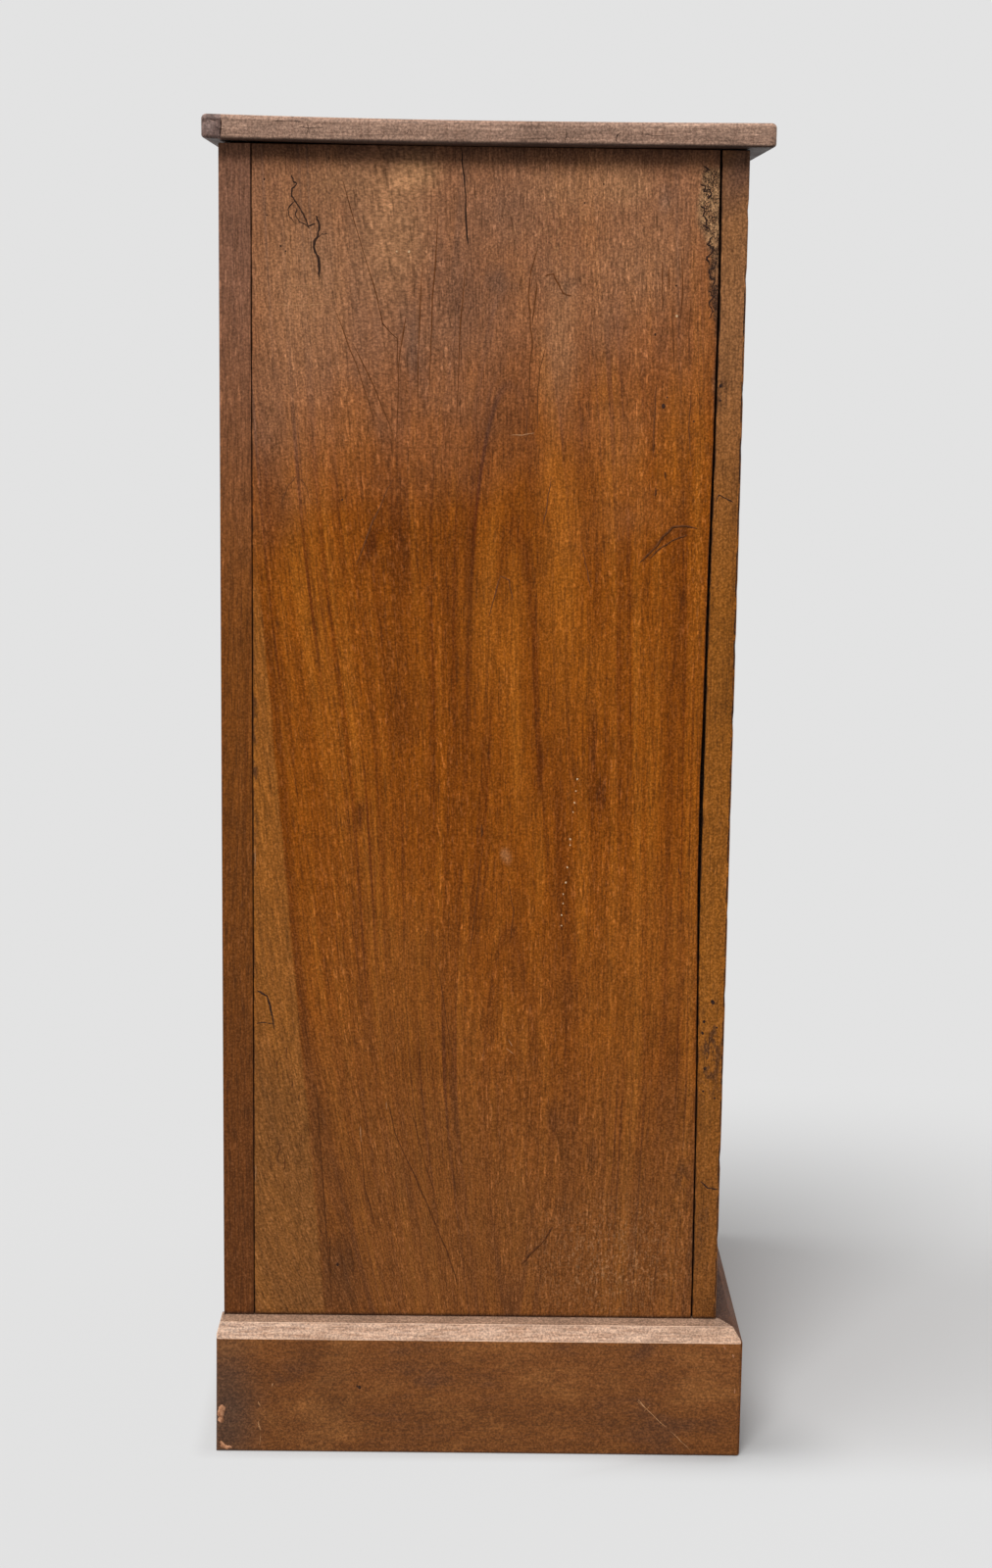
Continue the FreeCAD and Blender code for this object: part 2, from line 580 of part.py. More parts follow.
def lock(rail_middle):
    """The lock with the stile shut: case, bolt, escutcheon and keeper, and the cutters that seat them."""
    middle_x = HALF_WIDTH - KEEPER_INSET
    keeper_low = rail_middle - KEEPER_THICKNESS / 2
    keeper_high = rail_middle + KEEPER_THICKNESS / 2
    pin_head = keeper_low - BOLT_PIN_DROP

    def across(half_width, low_y, high_y, low_z, high_z):
        return box(middle_x - half_width, middle_x + half_width, low_y, high_y, low_z, high_z)

    wall = LOCK_WALL
    case_low_y = STILE_BACK_Y - LOCK_DEPTH
    case_head = pin_head + BOLT_TRAVEL + LOCK_HEAD_ROOM + wall
    case_foot = case_head - LOCK_HEIGHT
    mortise = across(LOCK_WIDTH / 2, case_low_y, STILE_BACK_Y, case_foot, case_head)
    hollow_half = LOCK_WIDTH / 2 - wall
    hollow_low_y = case_low_y + wall
    hollow_high_y = STILE_BACK_Y - wall
    hollow_foot = case_foot + wall
    hollow = across(hollow_half, hollow_low_y, hollow_high_y, hollow_foot, case_head - wall)

    keeper_half = KEEPER_WIDTH / 2
    slot = box(
        middle_x - keeper_half - KEEPER_SWING_CLEARANCE,
        middle_x + keeper_half + KEEPER_SIDE_CLEARANCE,
        hollow_high_y,
        STILE_BACK_Y,
        keeper_low - KEEPER_SIDE_CLEARANCE,
        keeper_high + KEEPER_SIDE_CLEARANCE,
    )
    key_z = hollow_foot + KEYHOLE_ABOVE_CASE_FLOOR
    key_way = keyhole(0, middle_x, key_z, FACE_Y - OVERRUN, hollow_low_y)
    case = mortise.cut(hollow).cut(slot).cut(key_way)

    tip_y = CARCASS_FRONT_Y - KEEPER_REACH
    eye_y = tip_y + KEEPER_EYE_INSET
    plate_back_y = CARCASS_FRONT_Y + KEEPER_PLATE_THICKNESS
    plate_reach = RAIL_HEIGHT / 2 - KEEPER_PLATE_MARGIN
    plate_low = rail_middle - plate_reach
    plate_high = rail_middle + plate_reach
    plate = across(KEEPER_PLATE_WIDTH / 2, CARCASS_FRONT_Y, plate_back_y, plate_low, plate_high)
    finger = across(keeper_half, tip_y, CARCASS_FRONT_Y, keeper_low, keeper_high)
    eye = Part.makeCylinder(KEEPER_EYE_RADIUS, KEEPER_THICKNESS, Vector(middle_x, eye_y, keeper_low))
    keeper = joined([plate, finger]).cut(eye)

    block_low_y = hollow_low_y + BOLT_CLEARANCE
    block_high_y = hollow_high_y - BOLT_CLEARANCE
    block_foot = hollow_foot + BOLT_CLEARANCE
    block_head = block_foot + BOLT_BLOCK_HEIGHT
    notch_head = block_foot + BOLT_NOTCH_HEIGHT
    block = across(hollow_half - BOLT_CLEARANCE, block_low_y, block_high_y, block_foot, block_head)
    notch = across(BOLT_NOTCH_WIDTH / 2, block_low_y, block_high_y, block_foot, notch_head)
    pin = Part.makeCylinder(BOLT_PIN_RADIUS, pin_head - block_head, Vector(middle_x, eye_y, block_head))
    bolt = joined([block.cut(notch), pin])

    rim_seat = keyhole(ESCUTCHEON_RIM, middle_x, key_z, FACE_Y, FACE_Y + ESCUTCHEON_DEPTH)
    return {
        "case": case,
        "bolt": bolt,
        "escutcheon": rim_seat.cut(key_way),
        "keeper": keeper,
        "stile_cutters": [mortise, key_way, rim_seat],
        "keeper_seat": plate,
    }


def swung_open(shape):
    """A piece of the locking stile, turned from shut to where the stile is stored."""
    turned = shape.copy()
    turned.rotate(Vector(HINGE_X, HINGE_Y, 0), Vector(0, 0, 1), STILE_REST_ANGLE)
    return turned


def carcass_and_stile(openings):
    """The carcass, the fixed stile, and the locking stile with its hinges and lock."""
    made_rails = rails(openings)
    bottom = bottom_board()
    left_side = side_board(True)
    right_side = mirrored(side_board(False))
    for board in made_rails + [bottom]:
        left_side = left_side.cut(board)
        right_side = right_side.cut(board)

    pilaster = eased_stile(-HALF_WIDTH, -STILE_INNER_X, PLINTH_HEIGHT, CARCASS_TOP)
    groove_floor = STILE_BACK_Y - TONGUE_LENGTH - GROOVE_SLACK
    pilaster = pilaster.cut(tongue_groove(groove_floor, STILE_BACK_Y + OVERRUN))

    stile = eased_stile(STILE_INNER_X, HALF_WIDTH, STILE_FOOT, STILE_HEAD)
    hinges = []
    for middle in hinge_middles():
        hinges.append(hinge(middle))
        carcass_leaf_back = CARCASS_FRONT_Y + HINGE_LEAF_THICKNESS
        right_side = right_side.cut(hinge_recess(middle, CARCASS_FRONT_Y, carcass_leaf_back))
        stile = stile.cut(hinge_recess(middle, STILE_BACK_Y - HINGE_LEAF_THICKNESS, STILE_BACK_Y))

    rail_middles = [floor - RAIL_HEIGHT / 2 for floor, _ in openings[:-1]]
    stile_middle = (STILE_FOOT + STILE_HEAD) / 2
    lock_rail_middle = min(rail_middles, key=lambda middle: abs(middle - stile_middle))
    lock_rail = 1 + rail_middles.index(lock_rail_middle)
    locking = lock(lock_rail_middle)
    for cutter in locking["stile_cutters"]:
        stile = stile.cut(cutter)
    made_rails[lock_rail] = made_rails[lock_rail].cut(locking["keeper_seat"])

    return {
        "left_side": left_side,
        "right_side": right_side,
        "left_pilaster": pilaster,
        "carcass_bottom": bottom,
        "drawer_rails": Part.makeCompound(made_rails),
        "drawer_runners": runners(openings),
        "drawer_guides": guides(openings),
        "lock_keeper": locking["keeper"],
        "hinge_carcass_leaves": Part.makeCompound([h[0] for h in hinges]),
        "hinge_pins": Part.makeCompound([h[2] for h in hinges]),
        "locking_stile": swung_open(stile),
        "hinge_stile_leaves": swung_open(Part.makeCompound([h[1] for h in hinges])),
        "lock_case": swung_open(locking["case"]),
        "lock_bolt": swung_open(locking["bolt"]),
        "escutcheon": swung_open(locking["escutcheon"]),
    }


def main():
    openings = drawer_openings()
    nodes = {}
    nodes.update(top())
    nodes.update(plinth())
    nodes.update(carcass_and_stile(openings))
    nodes.update(back_frame())
    for number, (floor, ceiling) in enumerate(openings, 1):
        nodes.update(drawer(number, floor, ceiling))

    os.makedirs("parts", exist_ok=True)
    for name, shape in nodes.items():
        shape.exportStep(f"parts/{name}.step")
        print(name, len(shape.Solids), "valid" if shape.isValid() else "BROKEN")


main()
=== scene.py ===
"""The look of a Wellington chest: its woods, metalwork and old marks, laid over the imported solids."""

import math
import random

import bmesh
import bpy
from mathutils import Matrix, Quaternion, Vector, noise


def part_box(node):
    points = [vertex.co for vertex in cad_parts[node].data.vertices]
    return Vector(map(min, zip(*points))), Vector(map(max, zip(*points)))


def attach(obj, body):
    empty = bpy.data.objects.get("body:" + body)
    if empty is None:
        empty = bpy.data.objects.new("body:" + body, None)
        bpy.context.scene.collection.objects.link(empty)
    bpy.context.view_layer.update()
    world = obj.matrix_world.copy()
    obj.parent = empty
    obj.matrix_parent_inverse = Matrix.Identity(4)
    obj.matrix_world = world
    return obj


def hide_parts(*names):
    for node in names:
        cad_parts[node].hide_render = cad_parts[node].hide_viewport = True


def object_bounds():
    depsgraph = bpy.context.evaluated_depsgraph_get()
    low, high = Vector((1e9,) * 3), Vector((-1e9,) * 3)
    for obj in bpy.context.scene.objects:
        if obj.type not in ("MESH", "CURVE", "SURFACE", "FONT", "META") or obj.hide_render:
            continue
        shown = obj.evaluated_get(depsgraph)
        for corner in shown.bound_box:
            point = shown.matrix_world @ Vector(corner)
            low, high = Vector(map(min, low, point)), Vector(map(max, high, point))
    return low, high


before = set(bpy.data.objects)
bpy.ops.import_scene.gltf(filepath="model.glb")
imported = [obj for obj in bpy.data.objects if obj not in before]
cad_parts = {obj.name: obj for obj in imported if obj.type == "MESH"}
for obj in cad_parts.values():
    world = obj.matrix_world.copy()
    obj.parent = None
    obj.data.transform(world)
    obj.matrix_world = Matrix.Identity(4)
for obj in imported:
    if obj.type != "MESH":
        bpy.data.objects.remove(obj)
cad_low, cad_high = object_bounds()
scene = bpy.context.scene
scene.view_settings.view_transform = "Standard"

MM = 0.001

# Faces that carry marks, and heights where finishes change
SIDE_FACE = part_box("left_side")[0].x
PLINTH_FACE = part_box("plinth_left")[0].x
TOP_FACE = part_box("top_board")[0].x
SIDE_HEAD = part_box("left_side")[1].z
SIDE_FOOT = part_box("left_side")[0].z
TOP_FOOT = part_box("top_board")[0].z
PLINTH_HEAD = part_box("plinth_left")[1].z
CHAMFER_FOOT = PLINTH_HEAD - 15 * MM
LEDGE_FOOT = PLINTH_HEAD - 3 * MM
TOP_STRIP_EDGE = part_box("top_board")[1].x - 14.5 * MM
# Half the plinth's width and depth, and a height well over it
PLINTH_HALF = Vector((-PLINTH_FACE, 0.2265, 1.0))

draw = random.Random(7)


def tint(red, green, blue):
    """A colour written in screen levels from 0 to 255, as the linear colour that a shader takes."""
    def linear(level):
        share = level / 255
        return share / 12.92 if share <= 0.04045 else ((share + 0.055) / 1.055) ** 2.4
    return (linear(red), linear(green), linear(blue), 1.0)


# Small tools for shader nodes. Each finds its tree by the values that it is given

def is_link(value):
    """Whether a value comes from another node."""
    return isinstance(value, bpy.types.NodeSocket)


def add_node(kind, sockets, tree=None, **settings):
    """Adds a shader node, sets its properties, and fills its sockets with values or links."""
    tree = tree or next(value.id_data for value in sockets.values() if is_link(value))
    made = tree.nodes.new("ShaderNode" + kind)
    for name, value in settings.items():
        setattr(made, name, value)
    for socket, value in sockets.items():
        if is_link(value):
            tree.links.new(value, made.inputs[socket])
        else:
            made.inputs[socket].default_value = value
    return made


def link(value, node, socket):
    """Leads a value to a node that is there already."""
    value.id_data.links.new(value, node.inputs[socket])


def calc(operation, first, second=0.0, clamped=False):
    """One sum of two values."""
    return add_node("Math", {0: first, 1: second}, operation=operation, use_clamp=clamped).outputs[0]


def times(first, *others):
    """A value times each of the others."""
    for other in others:
        first = calc("MULTIPLY", first, other)
    return first


def plus(first, *others):
    """A value and each of the others, added up."""
    for other in others:
        first = calc("ADD", first, other)
    return first


def minus(first, second):
    """A value less another."""
    return calc("SUBTRACT", first, second)


def vector_calc(operation, first, second=(0.0, 0.0, 0.0), output="Vector"):
    """One sum of two vectors."""
    return add_node("VectorMath", {0: first, 1: second}, operation=operation).outputs[output]


def length_of(vector):
    """How long a vector is."""
    return vector_calc("LENGTH", vector, output="Value")


def split(vector):
    """A vector's X, Y and Z, by name."""
    return add_node("SeparateXYZ", {0: vector}).outputs


def joined(x, y, z):
    """Three values as a vector."""
    return add_node("CombineXYZ", {0: x, 1: y, 2: z}).outputs[0]


def stretched(vector, across, along):
    """A vector scaled across the grain and along it, where the grain runs along Z."""
    return vector_calc("MULTIPLY", vector, (across, across, along))


def noise_of(vector, detail=2.0, roughness=0.5, scale=1.0, output="Fac"):
    """Noise over a vector, about 0.5 on average."""
    sockets = {"Vector": vector, "Scale": scale, "Detail": detail, "Roughness": roughness}
    return add_node("TexNoise", sockets).outputs[output]


def ranged(value, low, high, to_low=0.0, to_high=1.0):
    """A value moved smoothly from one range to another, and kept inside it."""
    sockets = {"Value": value, "From Min": low, "From Max": high, "To Min": to_low, "To Max": to_high}
    return add_node("MapRange", sockets, interpolation_type="SMOOTHSTEP").outputs[0]


def blended(share, first, second, mode="MIX"):
    """One colour laid over another."""
    return add_node("Mix", {0: share, 6: first, 7: second}, data_type="RGBA", blend_type=mode).outputs[2]


def brightened(colour, factor):
    """A colour times a value."""
    return add_node("VectorMath", {0: colour, "Scale": factor}, operation="SCALE").outputs[0]


def ramped(value, colours):
    """A value as a colour, from evenly spaced stops."""
    made = add_node("ValToRGB", {0: value})
    stops = made.color_ramp.elements
    while len(stops) < len(colours):
        stops.new(0.5)
    for number, colour in enumerate(colours):
        stops[number].position = number / (len(colours) - 1)
        stops[number].color = colour
    return made.outputs["Color"]


def bumped(shader, height, strength, distance):
    """Gives a shader a fine relief."""
    sockets = {"Height": height, "Strength": strength, "Distance": distance}
    link(add_node("Bump", sockets).outputs[0], shader, "Normal")


def shader_group(name, inputs, outputs):
    """A new node group with its named sockets, and the insides of those sockets."""
    tree = bpy.data.node_groups.new(name, "ShaderNodeTree")
    for socket_name, kind, value in inputs:
        socket = tree.interface.new_socket(socket_name, in_out="INPUT", socket_type="NodeSocket" + kind)
        if value is not None:
            socket.default_value = value
    for socket_name, kind in outputs:
        tree.interface.new_socket(socket_name, in_out="OUTPUT", socket_type="NodeSocket" + kind)
    return tree, tree.nodes.new("NodeGroupInput").outputs, tree.nodes.new("NodeGroupOutput")


# Effects that the woods share

GRIME_SHADE = tint(58, 38, 26)
DENT_SHADE = tint(36, 20, 12)


def make_grain_group():
    """Board grain along Z round a heart on the Z axis: bands, streaks, growth lines, fibres and pores."""
    tree, given, put_out = shader_group(
        "Board grain",
        [
            ("Vector", "Vector", None),
            ("Ring spacing", "Float", 0.009),
            ("Wander", "Float", 0.02),
            ("Bands", "Float", 0.5),
            ("Streaks", "Float", 0.5),
            ("Rings", "Float", 0.25),
        ],
        [(name, "Float") for name in ("Tone", "Lines", "Fibre", "Grit", "Flecks", "Pores", "Height")],
    )
    drift = noise_of(stretched(given["Vector"], 3.0, 1.3), 1.0, output="Color")
    drift = brightened(vector_calc("SUBTRACT", drift, (0.5, 0.5, 0.5)), given["Wander"])
    wandering = vector_calc("ADD", given["Vector"], drift)

    bands = noise_of(stretched(wandering, 24.0, 1.0), 3.0, 0.55)
    streaks = noise_of(stretched(wandering, 150.0, 4.0), 4.0, 0.62)
    fibre = noise_of(stretched(wandering, 560.0, 38.0), 3.0, 0.62)
    grit = noise_of(given["Vector"], 2.0, 0.6, 560.0)
    dense = noise_of(stretched(wandering, 14.0, 4.0), 2.0)
    flecks = ranged(noise_of(stretched(wandering, 520.0, 130.0), 1.0), 0.56, 0.76)
    flecks = times(flecks, ranged(dense, 0.4, 0.62, 0.3, 1.0))
    pores = ranged(noise_of(stretched(wandering, 900.0, 45.0), 1.0), 0.57, 0.72)

    place = split(wandering)
    radius = length_of(vector_calc("MULTIPLY", wandering, (1.0, 1.0, 0.0)))
    rings = calc("DIVIDE", radius, given["Ring spacing"])
    side = times(place["Y"], 9.0)
    rise = times(place["Z"], 1.4)
    growth = noise_of(joined(rings, side, rise), 3.0, 0.6)
    lines = noise_of(joined(times(rings, 3.4), side, rise), 2.0, 0.55)
    lines = times(ranged(lines, 0.53, 0.70), ranged(dense, 0.36, 0.6, 1.0, 0.35))

    def swing(value, weight):
        return times(minus(value, 0.5), times(weight, 2.0))

    tone = plus(swing(bands, given["Bands"]), swing(streaks, given["Streaks"]), swing(growth, given["Rings"]))
    results = {
        "Tone": calc("ADD", tone, 0.5, clamped=True),
        "Lines": lines, "Fibre": fibre, "Grit": grit, "Flecks": flecks, "Pores": pores,
        "Height": minus(fibre, pores),
    }
    for name, value in results.items():
        link(value, put_out, name)
    return tree


def make_wear_and_edge_light_group():
    """Handling: arrises in their own colour, worn wood with a painted highlight on some boards and painted
    shade on others, cloudy polish, grime and small dark dents.
    """
    tree, given, put_out = shader_group(
        "Handling wear and edge light",
        [
            ("Color", "Color", None),
            ("Vector", "Vector", None),
            ("Arris", "Float", 0.0),
            ("Arris colour", "Color", (0.4, 0.25, 0.15, 1)),
            ("Grime", "Float", 0.35),
            ("Rub and painted light", "Float", 0.0),
        ],
        [("Color", "Color"), ("Roughness", "Float")],
    )
    # The arrises' colour: worn wood, a painted highlight where it is pale and painted shade where it is dark
    edge_wear_and_light = plus(noise_of(given["Vector"], 3.0, 0.6, 70.0), given["Rub and painted light"])
    edge_wear_and_light = times(given["Arris"], ranged(edge_wear_and_light, 0.38, 0.62))
    colour = blended(times(edge_wear_and_light, 0.75), given["Color"], given["Arris colour"])
    cloud = noise_of(given["Vector"], 4.0, 0.6, 11.0)
    grime = times(ranged(cloud, 0.5, 0.78), given["Grime"])
    colour = blended(grime, colour, GRIME_SHADE, "MULTIPLY")
    dents = add_node("TexVoronoi", {"Vector": given["Vector"], "Scale": 55.0}).outputs
    few = calc("LESS_THAN", dents["Color"], 0.16)
    dent = times(ranged(dents["Distance"], 0.035, 0.02), few, 0.65)
    colour = blended(dent, colour, DENT_SHADE)
    link(colour, put_out, "Color")
    link(plus(ranged(cloud, 0.3, 0.7, -0.07, 0.09), times(edge_wear_and_light, 0.12)), put_out, "Roughness")
    return tree


GRAIN = make_grain_group()
WEAR_AND_EDGE_LIGHT = make_wear_and_edge_light_group()


# How a wood is made up

GRAIN_TURNS = {
    "X": (0, -math.pi / 2, 0),
    "Y": (math.pi / 2, 0, 0),
    "Z": (0, 0, 0),
}
LINE_SHADE = tint(158, 128, 108)
PORE_SHADE = tint(50, 27, 12)
DUST_LIFT = (0.06, 0.037, 0.022, 1.0)
WOOD_RELIEF = 0.5 * MM
METAL_RELIEF = 0.1 * MM


def new_material(name):
    """A material with only its shader, its output and the object's own coordinates."""
    made = bpy.data.materials.new(name)
    made.use_nodes = True
    made.node_tree.nodes.clear()
    shader = add_node("BsdfPrincipled", {}, made.node_tree)
    add_node("OutputMaterial", {"Surface": shader.outputs["BSDF"]})
    return made, shader, add_node("TexCoord", {}, made.node_tree).outputs["Object"]


def grained(coords, tones, grain="Z", shift=(0.07, 0.0, 0.0), turn=(0.0, 0.0, 0.0), figure=(0.5, 0.5, 0.25),
            ring_spacing=0.009, wander=0.03, lines=0.4, fibre=0.3, grit=0.3, flecks=0.4, pores=0.4,
            bend=None, zones=None):
    """The colour and height of a board: shift and turn say how it lay in its log, and zones colour it."""
    turns = Vector(GRAIN_TURNS[grain]) + Vector(turn)
    bent = bend(coords) if bend else coords
    board = add_node("Mapping", {"Vector": bent, "Rotation": turns, "Location": shift}).outputs[0]
    bands, streaks, rings = figure
    wood = add_node("Group", {
        "Vector": board, "Ring spacing": ring_spacing, "Wander": wander,
        "Bands": bands, "Streaks": streaks, "Rings": rings,
    }, node_tree=GRAIN).outputs
    colour = ramped(wood["Tone"], [tint(*tone) for tone in tones])
    colour = blended(times(wood["Lines"], lines), colour, LINE_SHADE, "MULTIPLY")
    if zones:
        colour = zones(coords, colour)
    for part, depth in (("Fibre", fibre), ("Grit", grit)):
        colour = brightened(colour, ranged(wood[part], 0.25, 0.75, 1 - depth, 1 + depth))
    speck = times(wood["Flecks"], flecks)
    dust = plus(speck, ranged(wood["Grit"], 0.48, 0.8, 0.0, 1.3 * grit))
    colour = blended(dust, brightened(colour, plus(speck, 1.0)), DUST_LIFT, "ADD")
    return blended(times(wood["Pores"], pores), colour, PORE_SHADE), wood["Height"]


def polished(shader, coords, colour, height, arris_colour=(176, 128, 88), rub_and_painted_light=0.0, grime=0.35, roughness=0.45,
             gloss=0.3, relief=0.25):
    """Wears a wood's colour and gives it an old satin polish."""
    arris = add_node("Attribute", {}, shader.id_data, attribute_name="arris").outputs["Fac"]
    worn = add_node("Group", {
        "Color": colour, "Vector": coords, "Arris": arris,
        "Arris colour": tint(*arris_colour), "Grime": grime, "Rub and painted light": rub_and_painted_light,
    }, node_tree=WEAR_AND_EDGE_LIGHT).outputs
    link(worn["Color"], shader, "Base Color")
    link(plus(worn["Roughness"], roughness), shader, "Roughness")
    shader.inputs["Specular IOR Level"].default_value = gloss
    bumped(shader, height, relief, WOOD_RELIEF)


def board_wood(name, tones, wear=None, **board):
    """A wood for one board or a set of like boards."""
    made, shader, coords = new_material(name)
    colour, height = grained(coords, tones, **board)
    polished(shader, coords, colour, height, **(wear or {}))
    return made


# Growth, stains, dirt, and painted sheen and shade on single boards

# Patches reach this far across the chest, so that only Y and Z shape them
PATCH_DEPTH = 60.0
DARK_GROWTH = tint(150, 128, 118)
GOLDEN_GROWTH = tint(166, 96, 24)
PALE_GROWTH = tint(168, 122, 84)
SAPWOOD = tint(146, 94, 40)
# A painted sheen, greyer and paler, at the side's head
HEAD_SHEEN_TINT = tint(144, 106, 82)
DULL_FOOT = tint(92, 65, 42)
# Painted shadow of the top's overhang on the side's head
OVERHANG_SHADOW_TINT = tint(82, 68, 104)
# Dirt and painted shade deep in the joints
JOINT_DIRT_AND_SHADE = tint(20, 12, 9)
# Painted shade in the crease at the foot of the upright boards
FOOT_SHADE = tint(34, 20, 14)
STAIN = tint(62, 38, 24)
DUST = tint(156, 112, 74)
# Where dirt and painted shade start behind the outer face of a joint, and where they are darkest
JOINT_DIRT_SHADE_START = SIDE_FACE + 0.5 * MM
JOINT_DIRT_SHADE_FULL = SIDE_FACE + 1.6 * MM
# Heights where the painted shade at an upright board's foot starts and is darkest
FOOT_SHADE_START = SIDE_FOOT + 4 * MM
FOOT_SHADE_FULL = SIDE_FOOT + 0.5 * MM


def patch(coords, centre, half_size, tilt=0.0):
    """A soft oval mask on the left of the chest: its centre and half size are Y and Z in millimetres."""
    sockets = {
        "Vector": coords,
        "Location": (0, centre[0] * MM, centre[1] * MM),
        "Rotation": (math.radians(tilt), 0, 0),
        "Scale": (PATCH_DEPTH, half_size[0] * MM, half_size[1] * MM),
    }
    local = add_node("Mapping", sockets, vector_type="TEXTURE").outputs[0]
    return ranged(add_node("TexGradient", {0: local}, gradient_type="SPHERICAL").outputs["Fac"], 0.0, 0.9)


def grown(coords, colour, patches, shade, mode="MIX", *strength):
    """Patches of other growth, each with its centre, half size, tilt and depth of tone."""
    for centre, half_size, tilt, depth in patches:
        mask = times(patch(coords, centre, half_size, tilt), depth, *strength)
        colour = blended(mask, colour, shade, mode)
    return colour


def stained(coords, colour, spots):
    """Small dark stains and pits. Each part of a board that has them has a centre, half size and depth."""
    for centre, half_size, depth in spots:
        pits = ranged(noise_of(stretched(coords, 150.0, 70.0), 4.0, 0.65), 0.47, 0.6)
        colour = blended(times(pits, patch(coords, centre, half_size), depth), colour, STAIN)
    return colour


def dusted(coords, colour, spots):
    """Pale dust caught in the open grain of some parts of a board."""
    for centre, half_size, depth in spots:
        specks = ranged(noise_of(stretched(coords, 620.0, 300.0), 3.0, 0.65), 0.5, 0.66)
        colour = blended(times(specks, patch(coords, centre, half_size), depth), colour, DUST)
    return colour


def end_shades(colour, height, ends):
    """Shades a board towards its ends. Each end has two heights, its share there and its colour."""
    for start, end, share, shade in ends:
        colour = blended(ranged(height, start, end, 0.0, share), colour, tint(*shade))
    return colour


def joint_dirt_and_shade(colour, place, joints):
    """Dirt and painted shade in joints, behind the outer face. Each has its dark edge along Y, and where the
    dirt and shade start.
    """
    for edge, inside in joints:
        deep = ranged(place["X"], JOINT_DIRT_SHADE_START, JOINT_DIRT_SHADE_FULL)
        colour = blended(times(deep, ranged(place["Y"], inside * MM, edge * MM)), colour, JOINT_DIRT_AND_SHADE)
    return colour


def foot_line(colour, place):
    """Painted shade in the crease where an upright board meets the plinth."""
    low = ranged(place["Z"], FOOT_SHADE_START, FOOT_SHADE_FULL, 0.0, 0.9)
    return blended(low, colour, FOOT_SHADE)


# The left side board

SIDE_DARK_PATCHES = [
    ((22, 985), (34, 85), 0, 0.65), ((58, 940), (14, 60), -10, 0.85), ((89, 887), (11, 42), -14, 0.5),
    ((94, 782), (9, 34), 24, 0.65), ((67, 779), (18, 70), -6, 0.35), ((30, 736), (6, 20), -8, 0.25),
    ((64, 642), (26, 40), 0, 0.3), ((99, 556), (5, 22), 0, 0.75), ((-49, 600), (6, 40), 0, 0.55),
    ((-100, 577), (6, 26), 4, 0.65), ((-120, 738), (13, 24), 0, 0.2), ((-65, 992), (15, 13), -30, 0.65),
    ((-6, 998), (12, 18), 20, 0.9), ((-142, 785), (6, 24), 42, 0.6), ((-162, 795), (14, 7), 0, 0.45),
    ((-142, 1062), (9, 18), 0, 0.95), ((115, 166), (18, 34), 0, 0.6), ((-54, 183), (9, 26), 37, 0.3),
    ((-66, 294), (11, 30), 0, 0.5), ((-99, 263), (7, 28), 0, 0.45), ((136, 1020), (24, 46), -12, 0.52),
    ((162, 806), (13, 44), -8, 0.4), ((174, 850), (22, 130), 0, 0.55), ((66, 250), (8, 60), -16, 0.3),
    ((-165, 330), (10, 120), 0, 0.3), ((150, 132), (40, 26), 0, 0.45), ((112, 136), (14, 40), 0, 0.5),
    ((-12, 1050), (40, 40), 10, 0.6), ((-96, 955), (16, 50), 0, 0.4),
]
SIDE_GOLDEN_PATCHES = [
    ((-105, 851), (32, 90), 0, 0.35), ((-20, 690), (16, 70), 0, 0.35), ((-60, 760), (26, 70), 4, 0.35),
    ((110, 880), (40, 60), 8, 0.35), ((60, 420), (40, 120), 4, 0.3), ((-110, 430), (40, 100), 0, 0.2),
    ((-66, 730), (26, 170), 0, 0.5), ((-156, 880), (24, 110), 0, 0.5), ((0, 720), (26, 100), 0, 0.35),
    ((-91, 676), (17, 60), 0, 0.4), ((-58, 830), (24, 70), 0, 0.5), ((168, 215), (26, 70), 0, 0.35),
]
# Smooth, paler wood, most of it at the head
SIDE_PALE_PATCHES = [
    ((146, 1000), (60, 110), 0, 0.3), ((76, 1040), (46, 90), 6, 0.55), ((-70, 1070), (60, 30), 0, 0.3),
    ((-60, 950), (22, 90), 0, 0.3), ((-130, 1010), (50, 70), 0, 0.2), ((-22, 524), (6, 9), 0, 0.35),
    ((60, 1080), (34, 26), 0, 0.8), ((112, 1072), (50, 28), 0, 0.4), ((-112, 1072), (34, 26), 0, 0.4),
]
GOLDEN_SHARE = 0.7
SIDE_STAINS = [((-176, 250), (14, 60), 0.5), ((188, 600), (5, 130), 0.8), ((170, 262), (16, 40), 0.3)]
SIDE_DUST = [((-116, 170), (100, 84), 0.6), ((-60, 1030), (80, 60), 0.4)]
SIDE_JOINTS = [(-176, -172), (187, 184)]
# Sapwood runs along the back edge. Its border starts here at the floor and leans back on its way up
SAP_EDGE = 0.1175
SAP_LEAN = 0.0877
SAP_SOFT_EDGE = (-1 * MM, 2 * MM)
SAP_FADE = (0.80, 0.70)
SAP_BORDER = 4 * MM
SAP_BORDER_REACH = (6 * MM, 1 * MM)
# How far the borders of growth stray, and the heights where the board gets a painted sheen, dulls or darkens
RAGGED_WIDTH = 14 * MM
HEAD_SHEEN_RISE = (0.78, 1.08)
FOOT_FADE = (0.6, 0.16)
# Heights of the painted shadow under the top's overhang
OVERHANG_SHADOW_RISE = (SIDE_HEAD - 17 * MM, SIDE_HEAD + 2 * MM)
# The heart of the log lies behind a line on the board, and deeper towards the board's head and foot
HEART_LINE = -0.02
HEART_NEAREST = 0.32
HEART_DEPTH = 0.04
HEART_HEAD_SLOPE = 0.05
HEART_FOOT_BEND = 0.15
